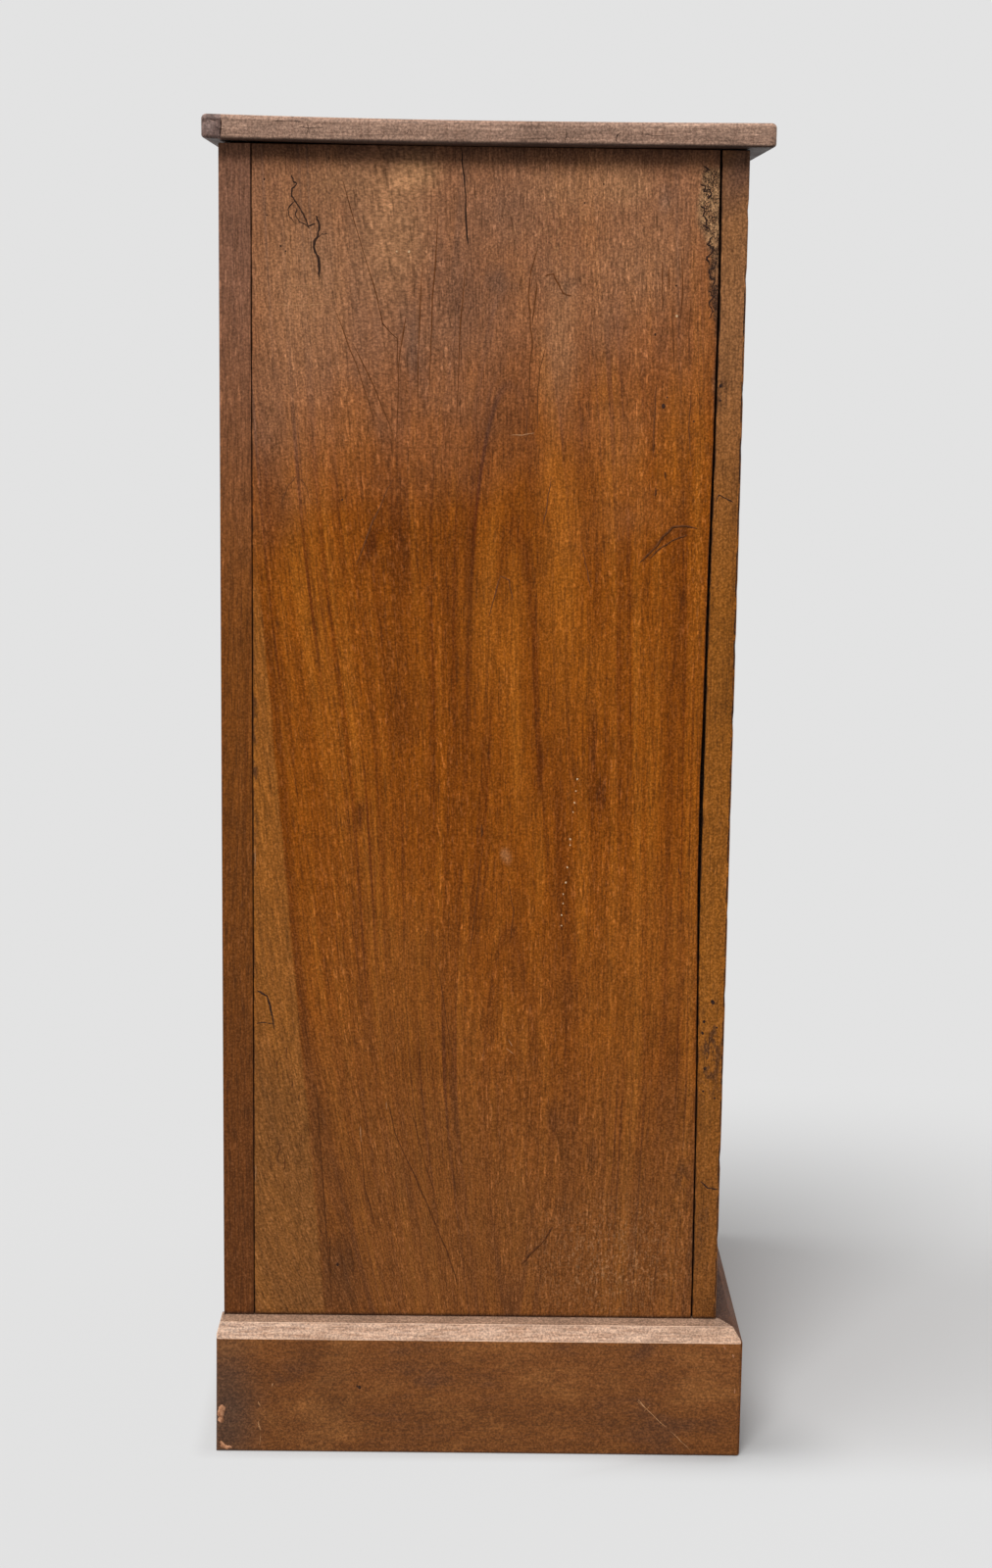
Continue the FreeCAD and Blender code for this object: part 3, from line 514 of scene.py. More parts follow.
# The grain near the back edge leans towards the front on its way down, and more so near the foot
GRAIN_LEAN = 0.084
LEAN_MIDDLE = 0.62
LEAN_BAND = (0.02, 0.13)
FOOT_LEAN_HEAD = 0.46
FOOT_LEAN_BEND = 0.5
FOOT_LEAN_BAND = (-0.06, 0.08)
# Old filler along the head of the gap
FILLER_HEAD = 1090 * MM
FILLER_FADE = 8 * MM
FILLER_BROADEST = 1050 * MM
FILLER_SHOULDER = 1015 * MM
FILLER_FOOT = 895 * MM
FILLER_FRONT = -187 * MM
FILLER_NECK_WIDTH = 9 * MM
FILLER_HEAD_WIDTH = 9 * MM
FILLER_SOFT_EDGE = (-3 * MM, 4 * MM)
FILLER_PALE_RISE = (0.99, 1.05)
FILLER_WARP = 9 * MM
FILLER_PALE = (tint(140, 102, 70), tint(176, 136, 96))
FILLER_DARK = (tint(62, 42, 32), tint(116, 80, 52))
FILLER_CRACK = tint(30, 20, 16)


def side_bend(coords):
    """Where each point of the left side board lay in its log."""
    place = split(coords)
    rise = minus(place["Z"], HEART_NEAREST)
    above = times(calc("MAXIMUM", rise, 0.0), HEART_HEAD_SLOPE)
    below = calc("MINIMUM", rise, 0.0)
    depth = plus(above, times(below, below, HEART_FOOT_BEND), HEART_DEPTH - SIDE_FACE)
    lean = times(minus(place["Z"], LEAN_MIDDLE), GRAIN_LEAN)
    along = minus(place["Y"], times(ranged(place["Y"], *LEAN_BAND), lean))
    foot = calc("MINIMUM", minus(place["Z"], FOOT_LEAN_HEAD), 0.0)
    foot = times(foot, foot, FOOT_LEAN_BEND, ranged(place["Y"], *FOOT_LEAN_BAND))
    return joined(plus(place["X"], depth), minus(plus(along, foot), HEART_LINE), place["Z"])


def filler_over(coords, colour, place, ragged):
    """Old filler along the head of the gap: pale at its head, dark and crackled lower down."""
    height = place["Z"]
    neck = ranged(height, FILLER_FOOT, FILLER_SHOULDER, 0.0, FILLER_NECK_WIDTH)
    head = ranged(height, FILLER_SHOULDER, FILLER_BROADEST, 0.0, FILLER_HEAD_WIDTH)
    back_edge = plus(neck, head, FILLER_FRONT, times(ragged, 1.1))
    inside = ranged(minus(back_edge, place["Y"]), *FILLER_SOFT_EDGE)
    inside = times(inside, ranged(height, FILLER_HEAD, FILLER_HEAD - FILLER_FADE))
    mottle = noise_of(coords, 3.0, 0.65, 150.0)
    pale = blended(ranged(mottle, 0.36, 0.6), *FILLER_PALE)
    dark = blended(ranged(mottle, 0.4, 0.62), *FILLER_DARK)
    paste = blended(ranged(height, *FILLER_PALE_RISE), dark, pale)
    colour = blended(times(inside, 0.8), colour, paste)
    warped = stretched(vector_calc("ADD", coords, times(mottle, FILLER_WARP)), 150.0, 66.0)
    cells = add_node("TexVoronoi", {"Vector": warped}, feature="DISTANCE_TO_EDGE").outputs["Distance"]
    crackle = times(ranged(cells, 0.16, 0.06), ranged(mottle, 0.50, 0.62, 1.0, 0.0))
    return blended(times(crackle, inside), colour, FILLER_CRACK)


def side_zones(coords, colour):
    """The left side board's growth and tone: sapwood at the back, dark and golden growth, a painted sheen at
    the head, painted shade under the top and in the joints.
    """
    place = split(coords)
    along, height = place["Y"], place["Z"]
    ragged = times(minus(noise_of(coords, 3.0, 0.6, 30.0), 0.5), RAGGED_WIDTH)
    soft = vector_calc("ADD", coords, ragged)
    colour = grown(soft, colour, SIDE_DARK_PATCHES, DARK_GROWTH, "MULTIPLY")
    colour = grown(soft, colour, SIDE_GOLDEN_PATCHES, GOLDEN_GROWTH, "MIX", GOLDEN_SHARE)

    past = minus(plus(along, times(ragged, 0.3)), plus(times(height, SAP_LEAN), SAP_EDGE))
    sap_height = ranged(height, *SAP_FADE)
    sap = times(ranged(past, *SAP_SOFT_EDGE), sap_height)
    colour = blended(times(sap, 0.5), colour, SAPWOOD)
    border = ranged(calc("ABSOLUTE", plus(past, SAP_BORDER)), *SAP_BORDER_REACH, 0.0, 0.36)
    colour = blended(times(border, sap_height), colour, DARK_GROWTH, "MULTIPLY")

    cloud = noise_of(coords, 3.0, 0.55, 7.0)
    high = plus(height, times(minus(cloud, 0.5), 0.3))
    # A painted sheen towards the head, reaching lower towards the back
    sheen_height = plus(high, times(along, 0.25))
    colour = blended(ranged(sheen_height, *HEAD_SHEEN_RISE, 0.0, 0.6), colour, HEAD_SHEEN_TINT)
    colour = grown(soft, colour, SIDE_PALE_PATCHES, PALE_GROWTH)
    colour = blended(ranged(high, *FOOT_FADE, 0.0, 0.46), colour, DULL_FOOT)
    # Painted shadow of the top's overhang on the side's head
    under = plus(height, times(ragged, 1.5))
    overhang_shadow = ranged(under, *OVERHANG_SHADOW_RISE, 0.0, 0.55)
    colour = blended(overhang_shadow, colour, OVERHANG_SHADOW_TINT, "MULTIPLY")
    colour = filler_over(coords, colour, place, ragged)
    colour = stained(coords, colour, SIDE_STAINS)
    colour = dusted(coords, colour, SIDE_DUST)
    return foot_line(joint_dirt_and_shade(colour, place, SIDE_JOINTS), place)


# The stiles and the plinth

STILE_ENDS = [(0.72, 1.0, 0.5, (138, 100, 72)), (0.45, 0.15, 0.5, (98, 60, 32))]
STILE_STAINS = [((-197, 356), (18, 76), 0.85), ((-197, 200), (16, 60), 0.45), ((-192, 910), (12, 24), 0.7)]
STILE_HEAD = [((-203, 1090), (26, 60), 18, 0.75)]
STILE_HEAD_DARK = tint(84, 58, 48)
STILE_JOINTS = [(-188, -192)]
BACK_STILE_ENDS = [(0.7, 1.05, 0.55, (126, 94, 80)), (0.6, 0.15, 0.6, (78, 44, 24))]
BACK_STILE_JOINTS = [(191, 194)]
PLINTH_PALE = tint(134, 84, 40)
PLINTH_DARK = tint(82, 48, 26)
PLINTH_BACK_END = [((216, 36), (46, 110), 0, 0.75)]
PLINTH_END_DIRT = tint(72, 52, 40)
CHAMFER_UNEVEN = 1 * MM
CHAMFER_SOFT_EDGE = (CHAMFER_FOOT - 0.6 * MM, CHAMFER_FOOT + 0.6 * MM)
LEDGE_SOFT_EDGE = (LEDGE_FOOT - 0.6 * MM, LEDGE_FOOT + 0.4 * MM)


def stile_zones(coords, colour):
    """The fixed stile: a darker head, greyer wood below it, and a darker foot."""
    place = split(coords)
    colour = end_shades(colour, place["Z"], STILE_ENDS)
    colour = grown(coords, colour, STILE_HEAD, STILE_HEAD_DARK)
    colour = stained(coords, colour, STILE_STAINS)
    return foot_line(joint_dirt_and_shade(colour, place, STILE_JOINTS), place)


def back_stile_zones(coords, colour):
    """The back stiles: greyer at the head and darker at the foot."""
    place = split(coords)
    colour = end_shades(colour, place["Z"], BACK_STILE_ENDS)
    return foot_line(joint_dirt_and_shade(colour, place, BACK_STILE_JOINTS), place)


def plinth_zones(edge_wear_and_light, chamfer, ledge):
    """The finish of a plinth board: cloudy wood, and the colours of its chamfer and its ledge: worn, dusty
    wood with a painted highlight on the side boards, painted shade on the front board.
    """
    def zones(coords, colour):
        cloud = noise_of(vector_calc("MULTIPLY", coords, (11.0, 11.0, 24.0)), 4.0, 0.6)
        colour = blended(ranged(cloud, 0.48, 0.68, 0.0, 0.7), colour, PLINTH_PALE)
        colour = blended(ranged(cloud, 0.48, 0.30, 0.0, 0.7), colour, PLINTH_DARK)
        colour = grown(coords, colour, PLINTH_BACK_END, PLINTH_END_DIRT)
        uneven = noise_of(coords, 3.0, 0.6, 90.0)
        high = plus(split(coords)["Z"], times(minus(uneven, 0.5), CHAMFER_UNEVEN))
        streaks = noise_of(vector_calc("MULTIPLY", coords, (40.0, 40.0, 420.0)), 3.0, 0.6)
        # The chamfer's colour: worn wood with a painted highlight on the side boards, painted shade on the
        # front board
        rub_and_painted_light = ranged(high, *CHAMFER_SOFT_EDGE)
        rub_and_painted_light = times(rub_and_painted_light, ranged(streaks, 0.35, 0.62, 0.55 * edge_wear_and_light, edge_wear_and_light))
        colour = blended(rub_and_painted_light, colour, tint(*chamfer))
        # The ledge's colour: dust on the side boards, painted shade on the front board
        ledge_dust_and_shade = ranged(high, *LEDGE_SOFT_EDGE, 0.0, 0.85 * edge_wear_and_light)
        return blended(ledge_dust_and_shade, colour, tint(*ledge))
    return zones


# Woods of the chest. Each set of tones runs from dark to pale

WALNUT = ((82, 34, 1), (129, 67, 6), (166, 98, 26))
STILE_TONES = ((107, 60, 13), (134, 79, 22), (158, 101, 43))
BACK_STILE_TONES = ((84, 43, 9), (110, 60, 15), (134, 78, 31))
TOP_TONES = ((92, 56, 34), (138, 90, 54), (168, 120, 80))
TOP_EDGE_TONES = ((118, 89, 73), (154, 123, 105), (184, 156, 136))
PLINTH_TONES = ((70, 37, 10), (108, 62, 24), (136, 84, 40))
FACE_TONES = ((86, 43, 13), (138, 80, 28), (178, 115, 53))
LINING_TONES = ((120, 84, 50), (156, 116, 76), (184, 146, 102))
BACK_TONES = ((78, 52, 32), (116, 82, 52), (142, 106, 72))
KNOB_TONES = ((46, 20, 10), (84, 40, 18), (116, 62, 30))
LIPPING_TONES = ((38, 26, 23), (96, 74, 67), (148, 124, 116))
# Arris colours: dark arrises, partly painted shade along joints and on the front plinth, and pale worn
# arrises with a painted highlight along the plinth's chamfer
DARK_ARRIS = (70, 42, 26)
PALE_ARRIS = (224, 190, 164)
SAW_MARK_SHADE = tint(150, 124, 112)
# Painted shade on the top's underside and along the foot of its edges, and the heights where it comes in
UNDER_TOP_SHADE = tint(52, 38, 34)
UNDER_TOP_RISE = (TOP_FOOT + 4 * MM, TOP_FOOT + 1.5 * MM)

side_left_wood = board_wood(
    "left_side_walnut", WALNUT, zones=side_zones, bend=side_bend, shift=(0.0, 0.0, 0.3),
    figure=(0.22, 0.27, 0.5), ring_spacing=0.012, wander=0.05, lines=0.9, fibre=0.28, grit=0.4, flecks=0.55,
    wear={"gloss": 0.08, "roughness": 0.5, "grime": 0.2, "arris_colour": DARK_ARRIS},
)
side_right_wood = board_wood(
    "right_side_walnut", WALNUT, shift=(-0.203, 0.06, 2.1), turn=(0.0, math.radians(3), 0.0),
    figure=(0.25, 0.25, 0.6), ring_spacing=0.012, lines=0.7, wear={"gloss": 0.15, "roughness": 0.46},
)
stile_wood = board_wood(
    "stile_walnut", STILE_TONES, zones=stile_zones, shift=(0.1, 0.4, 1.3), figure=(0.3, 0.25, 0.05),
    lines=0.2, fibre=0.15, grit=0.42, wear={"gloss": 0.1, "arris_colour": (46, 28, 20)},
)
locking_wood = board_wood(
    "locking_stile_walnut", STILE_TONES, shift=(-0.2, 0.31, 4.2), figure=(0.5, 0.5, 0.2),
    wear={"gloss": 0.25},
)
back_stile_wood = board_wood(
    "back_stile_walnut", BACK_STILE_TONES, zones=back_stile_zones, shift=(0.2, 0.1, 6.4),
    figure=(0.3, 0.3, 0.1), wear={"gloss": 0.1, "roughness": 0.5, "arris_colour": DARK_ARRIS},
)
plinth_board = {
    "figure": (0.3, 0.1, 0.15), "wander": 0.09, "lines": 0.1, "fibre": 0.1, "grit": 0.42, "flecks": 0.2,
    "pores": 0.15,
}
plinth_side_wood = board_wood(
    "plinth_side_walnut", PLINTH_TONES, grain="Y", shift=(0.34, 0.05, 0.8), **plinth_board,
    # A pale worn chamfer with a painted highlight, and a dusty ledge
    zones=plinth_zones(0.95, (179, 146, 122), (134, 106, 87)),
    wear={"gloss": 0.2, "roughness": 0.42, "grime": 0.4, "arris_colour": PALE_ARRIS, "rub_and_painted_light": 0.16},
)
plinth_front_wood = board_wood(
    "plinth_front_walnut", PLINTH_TONES, grain="X", shift=(0.08, 0.3, 3.8), **plinth_board,
    # A dark chamfer and ledge, which are painted shade
    zones=plinth_zones(0.9, (74, 46, 32), (66, 44, 34)),
    wear={"gloss": 0.06, "roughness": 0.6, "grime": 0.4, "arris_colour": DARK_ARRIS},
)
lining_board = {"figure": (0.4, 0.5, 0.25), "wear": {"gloss": 0.15, "roughness": 0.62, "grime": 0.5}}
lining_wood = board_wood(
    "drawer_lining_oak", LINING_TONES, grain="Y", shift=(0.2, 0.1, 0.0), **lining_board,
)
lining_cross_wood = board_wood(
    "drawer_bottom_oak", LINING_TONES, grain="X", shift=(0.15, 0.3, 1.0), **lining_board,
)
rail_wood = board_wood(
    "drawer_rail_walnut", FACE_TONES, grain="X", shift=(0.12, 0.2, 5.0), figure=(0.4, 0.4, 0.15),
    wear={"gloss": 0.15},
)
carcass_wear = {"gloss": 0.1, "roughness": 0.7, "grime": 0.6}
carcass_wood = board_wood(
    "carcass_pine", BACK_TONES, grain="Y", shift=(0.3, 0.3, 2.0), figure=(0.4, 0.4, 0.3), wear=carcass_wear,
)
carcass_cross_wood = board_wood(
    "carcass_cross_pine", BACK_TONES, grain="X", shift=(0.3, 0.5, 7.0), figure=(0.4, 0.4, 0.3),
    wear=carcass_wear,
)
back_panel_wood = board_wood(
    "back_panel_pine", BACK_TONES, shift=(0.06, -0.16, 3.0), figure=(0.5, 0.5, 0.4), ring_spacing=0.014,
    wander=0.06, wear=carcass_wear,
)
knob_wood = board_wood(
    "knob_rosewood", KNOB_TONES, grain="Y", shift=(0.1, 0.1, 0.5), figure=(0.4, 0.5, 0.3),
    ring_spacing=0.004, wear={"gloss": 0.35, "roughness": 0.32},
)
face_woods = [
    board_wood(
        f"drawer_{number}_face_walnut", FACE_TONES, grain="X",
        shift=(0.04 + 0.013 * number, 0.11 * number, 0.9 * number), figure=(0.55, 0.45, 0.3),
        ring_spacing=0.012, wander=0.07, wear={"gloss": 0.22, "roughness": 0.38},
    )
    for number in range(1, 8)
]
lipping_wood = board_wood(
    "top_lipping_walnut", LIPPING_TONES, grain="X", shift=(0.5, 0.2, 0.3), figure=(0.5, 0.6, 0.3),
    wear={"grime": 0.6, "roughness": 0.55},
)


def make_top_wood():
    """The top: grain along the chest on its face, and along the strips that edge it at both ends."""
    made, shader, coords = new_material("top_walnut")
    face, height = grained(coords, TOP_TONES, "X", (0.1, 0.9, 0.6), figure=(0.4, 0.4, 0.4), wander=0.06)
    edge, _ = grained(
        coords, TOP_EDGE_TONES, "Y", (0.4, 0.2, 2.6), figure=(0.45, 0.5, 0.1), wander=0.02, lines=0.1,
        fibre=0.26, grit=0.4, flecks=0.4, pores=0.25,
    )
    saw_marks = noise_of(vector_calc("MULTIPLY", coords, (0.0, 300.0, 24.0)), 3.0, 0.6)
    edge = blended(ranged(saw_marks, 0.5, 0.72, 0.0, 0.32), edge, SAW_MARK_SHADE, "MULTIPLY")
    place = split(coords)
    at_end = calc("GREATER_THAN", calc("ABSOLUTE", place["X"]), TOP_STRIP_EDGE)
    # Painted shade along the foot of the top's edges and on its underside
    under = ranged(place["Z"], *UNDER_TOP_RISE, 0.0, 0.85)
    colour = blended(under, blended(at_end, face, edge), UNDER_TOP_SHADE)
    polished(shader, coords, colour, height, gloss=0.12, roughness=0.5, arris_colour=(170, 140, 120))
    return made


top_wood = make_top_wood()


# Metals, and the colours of marks

def metal(name, clean, dull, roughness):
    """Old worn metal with a cloudy skin."""
    made, shader, coords = new_material(name)
    cloud = noise_of(coords, 4.0, 0.6, 90.0)
    link(blended(ranged(cloud, 0.35, 0.7), tint(*clean), tint(*dull)), shader, "Base Color")
    link(ranged(cloud, 0.3, 0.7, roughness, roughness + 0.2), shader, "Roughness")
    shader.inputs["Metallic"].default_value = 1.0
    bumped(shader, noise_of(coords, 2.0, 0.5, 900.0), 0.12, METAL_RELIEF)
    return made


def mark_material(name, first, second, scale=400.0):
    """The mottled colour of a small mark."""
    made, shader, coords = new_material(name)
    mottle = noise_of(stretched(coords, scale, scale), 3.0, 0.6)
    link(blended(ranged(mottle, 0.38, 0.62), tint(*first), tint(*second)), shader, "Base Color")
    link(ranged(mottle, 0.3, 0.7, 0.6, 0.8), shader, "Roughness")
    shader.inputs["Specular IOR Level"].default_value = 0.1
    return made


brass = metal("old_brass", (196, 158, 92), (128, 92, 46), 0.3)
steel = metal("lock_steel", (150, 148, 144), (92, 84, 78), 0.35)
crack_dark = mark_material("crack_shadow", (30, 20, 16), (58, 38, 28))
line_brown = mark_material("dark_grain_line", (66, 36, 14), (96, 54, 24))
line_soft = mark_material("soft_grain_line", (88, 50, 24), (108, 64, 34))
scratch_pale = mark_material("scratch_pale", (152, 106, 68), (178, 132, 92))
paint_white = mark_material("paint_speck", (222, 196, 158), (190, 156, 116))
chip_bare = mark_material("chipped_wood", (186, 134, 100), (138, 92, 64), 300.0)


# Tools for pieces

MERGE_DISTANCE = 1e-6
FLAT_ANGLE = math.radians(0.4)
SHARP_ANGLE = math.radians(28)
SMOOTH_ANGLE = math.radians(40)


def bare_object(name, mesh, material):
    """A finished mesh as an object of the scene."""
    made = bpy.data.objects.new(name, mesh)
    scene.collection.objects.link(made)
    mesh.materials.clear()
    mesh.materials.append(material)
    return made


def add_piece(name, mesh, material, body, replaced=None):
    """A piece of the chest that rides on a body, and may stand for a solid."""
    made = bare_object(name, mesh, material)
    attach(made, body)
    if replaced:
        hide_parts(replaced)
    return made


def plain_mesh(name, shape):
    """A bmesh as a mesh."""
    mesh = bpy.data.meshes.new(name)
    shape.to_mesh(mesh)
    shape.free()
    return mesh


def finished_mesh(name, shape):
    """A bmesh as a mesh whose rounded faces shade smoothly."""
    mesh = plain_mesh(name, shape)
    mesh.polygons.foreach_set("use_smooth", [True] * len(mesh.polygons))
    mesh.set_sharp_from_angle(angle=SMOOTH_ANGLE)
    return mesh


def merged_copy(node):
    """A solid's mesh with its triangles joined up and its flat faces whole."""
    shape = bmesh.new()
    shape.from_mesh(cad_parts[node].data)
    bmesh.ops.remove_doubles(shape, verts=shape.verts, dist=MERGE_DISTANCE)
    bmesh.ops.dissolve_limit(shape, angle_limit=FLAT_ANGLE, verts=shape.verts, edges=shape.edges)
    return shape


def added_copy(shape, mesh):
    """Adds a mesh to a bmesh, and gives the new vertices."""
    before = len(shape.verts)
    shape.from_mesh(mesh)
    shape.verts.ensure_lookup_table()
    return shape.verts[before:]


def cut_through(shape, place, normal):
    """Cuts a shape right through along a plane, and keeps both sides."""
    bmesh.ops.bisect_plane(
        shape, geom=shape.verts[:] + shape.edges[:] + shape.faces[:], dist=MERGE_DISTANCE,
        plane_co=place, plane_no=normal,
    )


def sharp_edges(shape):
    """The sharp outer edges of a board."""
    return [e for e in shape.edges if e.is_manifold and e.is_convex and e.calc_face_angle() > SHARP_ANGLE]


def rounded(shape, edges, width, segments):
    """Rounds some edges, and gives the faces of the rounding."""
    return bmesh.ops.bevel(
        shape, geom=edges, offset=width, offset_type="OFFSET", affect="EDGES", segments=segments,
        profile=0.5, material=-1, clamp_overlap=True,
    )["faces"]


def eased(shape, width, segments=2):
    """Rounds the sharp outer edges of a board, and marks the rounding as its arrises."""
    arris = shape.faces.layers.float.new("arris")
    for face in rounded(shape, sharp_edges(shape), width, segments):
        face[arris] = 1.0


CARCASS = "carcass"


def dressed(node, material, width, shaping=None, first_shaping=None, body=CARCASS):
    """A solid's own shape in its finish, with arrises eased and its own shaping before or after that."""
    shape = merged_copy(node)
    if first_shaping:
        first_shaping(shape)
    if width:
        eased(shape, width * MM)
    if shaping:
        shaping(shape)
    made = add_piece(node + "_dressed", finished_mesh(node + "_dressed", shape), material, body, node)
    made.modifiers.new("steady_shading", "WEIGHTED_NORMAL").keep_sharp = True


def finish_solid(node, material):
    """Keeps a solid as it is, and gives it its finish."""
    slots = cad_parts[node].data.materials
    slots.clear()
    slots.append(material)


# The shrinkage gap between the left side and the fixed stile: height, middle and half width in millimetres
GAP_LINE = [
    (100, -187.7, 0.7), (250, -187.0, 0.6), (340, -186.2, 0.6), (420, -184.9, 0.7), (500, -183.7, 1.2),
    (590, -183.7, 1.6), (660, -184.3, 1.1), (750, -184.8, 1.0), (870, -186.2, 0.9), (990, -186.8, 0.9),
    (1110, -185.2, 0.9),
]
JOINT_WIDTH = 2 * MM
STILE_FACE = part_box("left_pilaster")[0].y
STILE_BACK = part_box("left_pilaster")[1].y
SIDE_FRONT = STILE_BACK + JOINT_WIDTH
LIP_DEPTH = 6.5 * MM
EDGE_BAND = 1.5 * MM
SLICE = 9 * MM
# How far the edges flutter, and over what lengths
SIDE_FLUTTER = 0.25 * MM
STILE_FLUTTER = 0.2 * MM
CORNER_FLUTTER = 0.15 * MM
LONG_FLUTTER = 28 * MM
SHORT_FLUTTER = 9 * MM
# Chips out of the fixed stile's outer corner, by height in millimetres
STILE_CHIPS = (1054, 1000, 910, 863, 807, 751, 702, 640, 562, 480, 407, 330, 262, 190)
CHIP_DEPTH = 0.6 * MM
CHIP_LENGTH = 6 * MM


def gap_at(height):
    """The middle and the half width of the gap at a height, in metres."""
    for lower, upper in zip(GAP_LINE, GAP_LINE[1:]):
        if height <= upper[0] * MM:
            break
    share = (height / MM - lower[0]) / (upper[0] - lower[0])
    share = min(max(share, 0.0), 1.0)
    return [(a + (b - a) * share) * MM for a, b in zip(lower[1:], upper[1:])]


def slice_heights(shape):
    """Cuts a board across at even heights, so that its edges can wander."""
    heights = [vert.co.z for vert in shape.verts]
    for number in range(1, int((max(heights) - min(heights)) / SLICE)):
        cut_through(shape, (0, 0, min(heights) + number * SLICE), (0, 0, 1))


def flutter(place, seed):
    """A small uneven share from -1 to 1 along a board's height."""
    slow = noise.noise((seed, 0, place.z / LONG_FLUTTER))
    return slow + 0.5 * noise.noise((seed, 9, place.z / SHORT_FLUTTER))


def worn_side(shape):
    """Lets the left side's front edge follow the gap."""
    slice_heights(shape)
    for vert in shape.verts:
        if vert.co.x < SIDE_FACE + LIP_DEPTH and abs(vert.co.y - SIDE_FRONT) < EDGE_BAND:
            middle, half = gap_at(vert.co.z)
            vert.co.y += middle + half - SIDE_FRONT + SIDE_FLUTTER * flutter(vert.co, 3)


def worn_stile(shape):
    """Lets the fixed stile's back edge follow the gap, and chips its outer front corner."""
    slice_heights(shape)
    for vert in shape.verts:
        if vert.co.x > SIDE_FACE + LIP_DEPTH:
            continue
        if abs(vert.co.y - STILE_BACK) < EDGE_BAND:
            middle, half = gap_at(vert.co.z)
            vert.co.y += middle - half - STILE_BACK + STILE_FLUTTER * flutter(vert.co, 5)
        elif abs(vert.co.y - STILE_FACE) < EDGE_BAND:
            nearest = min(abs(vert.co.z - chip * MM) for chip in STILE_CHIPS)
            bite = max(0.0, 1 - nearest / CHIP_LENGTH) * CHIP_DEPTH
            vert.co.y += bite + CORNER_FLUTTER * abs(flutter(vert.co, 8))


# The top has cupped with age: its back and front edges have risen by this much
CUP_BACK = 2.4 * MM
CUP_FRONT = 1.2 * MM
CUP_STEPS = 24


def cupped_top(shape):
    """Bends the top's back and front edges up."""
    reach = cad_high.y
    for number in range(1, CUP_STEPS):
        cut_through(shape, (0, reach * (2 * number / CUP_STEPS - 1), 0), (0, 1, 0))
    for vert in shape.verts:
        rise = CUP_BACK if vert.co.y > 0 else CUP_FRONT
        vert.co.z += rise * (vert.co.y / reach) ** 2


# The plinth's corners and foot are worn round, and the back end of its left board is worn away at its head
PLINTH_ROUNDING = 3 * MM
PLINTH_ROUND_STEPS = 6
PLINTH_END = cad_high.y - 9 * MM
PLINTH_END_WEAR = 4 * MM
PLAIN_CORNER_HEAD = CHAMFER_FOOT - 2 * MM
FACE_BAND = 1 * MM
PLINTH_FRONT_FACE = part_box("plinth_front")[0].y


def on_plinth_face(vert):
    """Whether a vertex lies on the plinth's upright outer faces."""
    return abs(vert.co.x) > PLINTH_HALF.x - FACE_BAND or vert.co.y < PLINTH_FRONT_FACE + FACE_BAND


def rounded_foot(shape):
    """Rounds a plinth board's outer corners and foot, below its chamfer."""
    worn = [
        edge for edge in sharp_edges(shape)
        if all(on_plinth_face(vert) for vert in edge.verts)
        and min(vert.co.z for vert in edge.verts) < CHAMFER_FOOT - FACE_BAND
    ]
    rounded(shape, worn, PLINTH_ROUNDING, PLINTH_ROUND_STEPS)


def plain_corners(shape):
    """Leaves the pale arris colour, worn wood with a painted highlight, only along the chamfer."""
    arris = shape.faces.layers.float["arris"]
    for face in shape.faces:
        if face.calc_center_median().z < PLAIN_CORNER_HEAD:
            face[arris] = 0.0


def worn_plinth(shape):
    """Leans the back end of the left plinth board's chamfer and ledge."""
    plain_corners(shape)
    for vert in shape.verts:
        if vert.co.y > PLINTH_END and vert.co.z > CHAMFER_FOOT:
            vert.co.y -= PLINTH_END_WEAR * (vert.co.z - CHAMFER_FOOT) / (PLINTH_HEAD - CHAMFER_FOOT)


# Boards and fittings, with the width of their eased arrises in millimetres

STILE = "locking_stile"
dressed("left_side", side_left_wood, 0.7, worn_side)
dressed("right_side", side_right_wood, 0.7)
dressed("left_pilaster", stile_wood, 0.8, worn_stile)
dressed("back_stiles", back_stile_wood, 0.8)
dressed("back_rails", carcass_cross_wood, 0.8)
dressed("top_board", top_wood, 0, cupped_top)
dressed("top_back_lipping", lipping_wood, 0, cupped_top)
dressed("plinth_left", plinth_side_wood, 1.2, worn_plinth, rounded_foot)
dressed("plinth_right", plinth_side_wood, 1.2, plain_corners, rounded_foot)
dressed("plinth_front", plinth_front_wood, 1.2, None, rounded_foot)
dressed("drawer_rails", rail_wood, 0.6)
dressed("hinge_carcass_leaves", brass, 0.15)
dressed("hinge_pins", steel, 0.15)
dressed("lock_keeper", brass, 0.15)
dressed("locking_stile", locking_wood, 0.7, body=STILE)
dressed("hinge_stile_leaves", brass, 0.15, body=STILE)
dressed("lock_case", brass, 0.2, body=STILE)
dressed("escutcheon", brass, 0.2, body=STILE)
dressed("lock_bolt", steel, 0.2, body="lock_bolt")

finish_solid("plinth_back", carcass_cross_wood)
finish_solid("plinth_blocks", carcass_cross_wood)
finish_solid("back_panels", back_panel_wood)
finish_solid("carcass_bottom", rail_wood)
finish_solid("drawer_runners", carcass_wood)
finish_solid("drawer_guides", carcass_wood)


# Lines, for turned pieces and for marks

def new_curve(name):
    """An empty curve in space."""
    curve = bpy.data.curves.new(name, "CURVE")
    curve.dimensions = "3D"
    return curve


def add_line(curve, kind, places):
    """A line of a curve along some places."""
    line = curve.splines.new(kind)
    line.points.add(len(places) - 1)
    for point, place in zip(line.points, places):
        point.co = (*place, 1)
    return line


def curve_mesh(name, curve):
    """A curve as a mesh."""
    drawn = bpy.data.objects.new(name, curve)
    mesh = bpy.data.meshes.new_from_object(drawn)
    bpy.data.objects.remove(drawn)
    return mesh


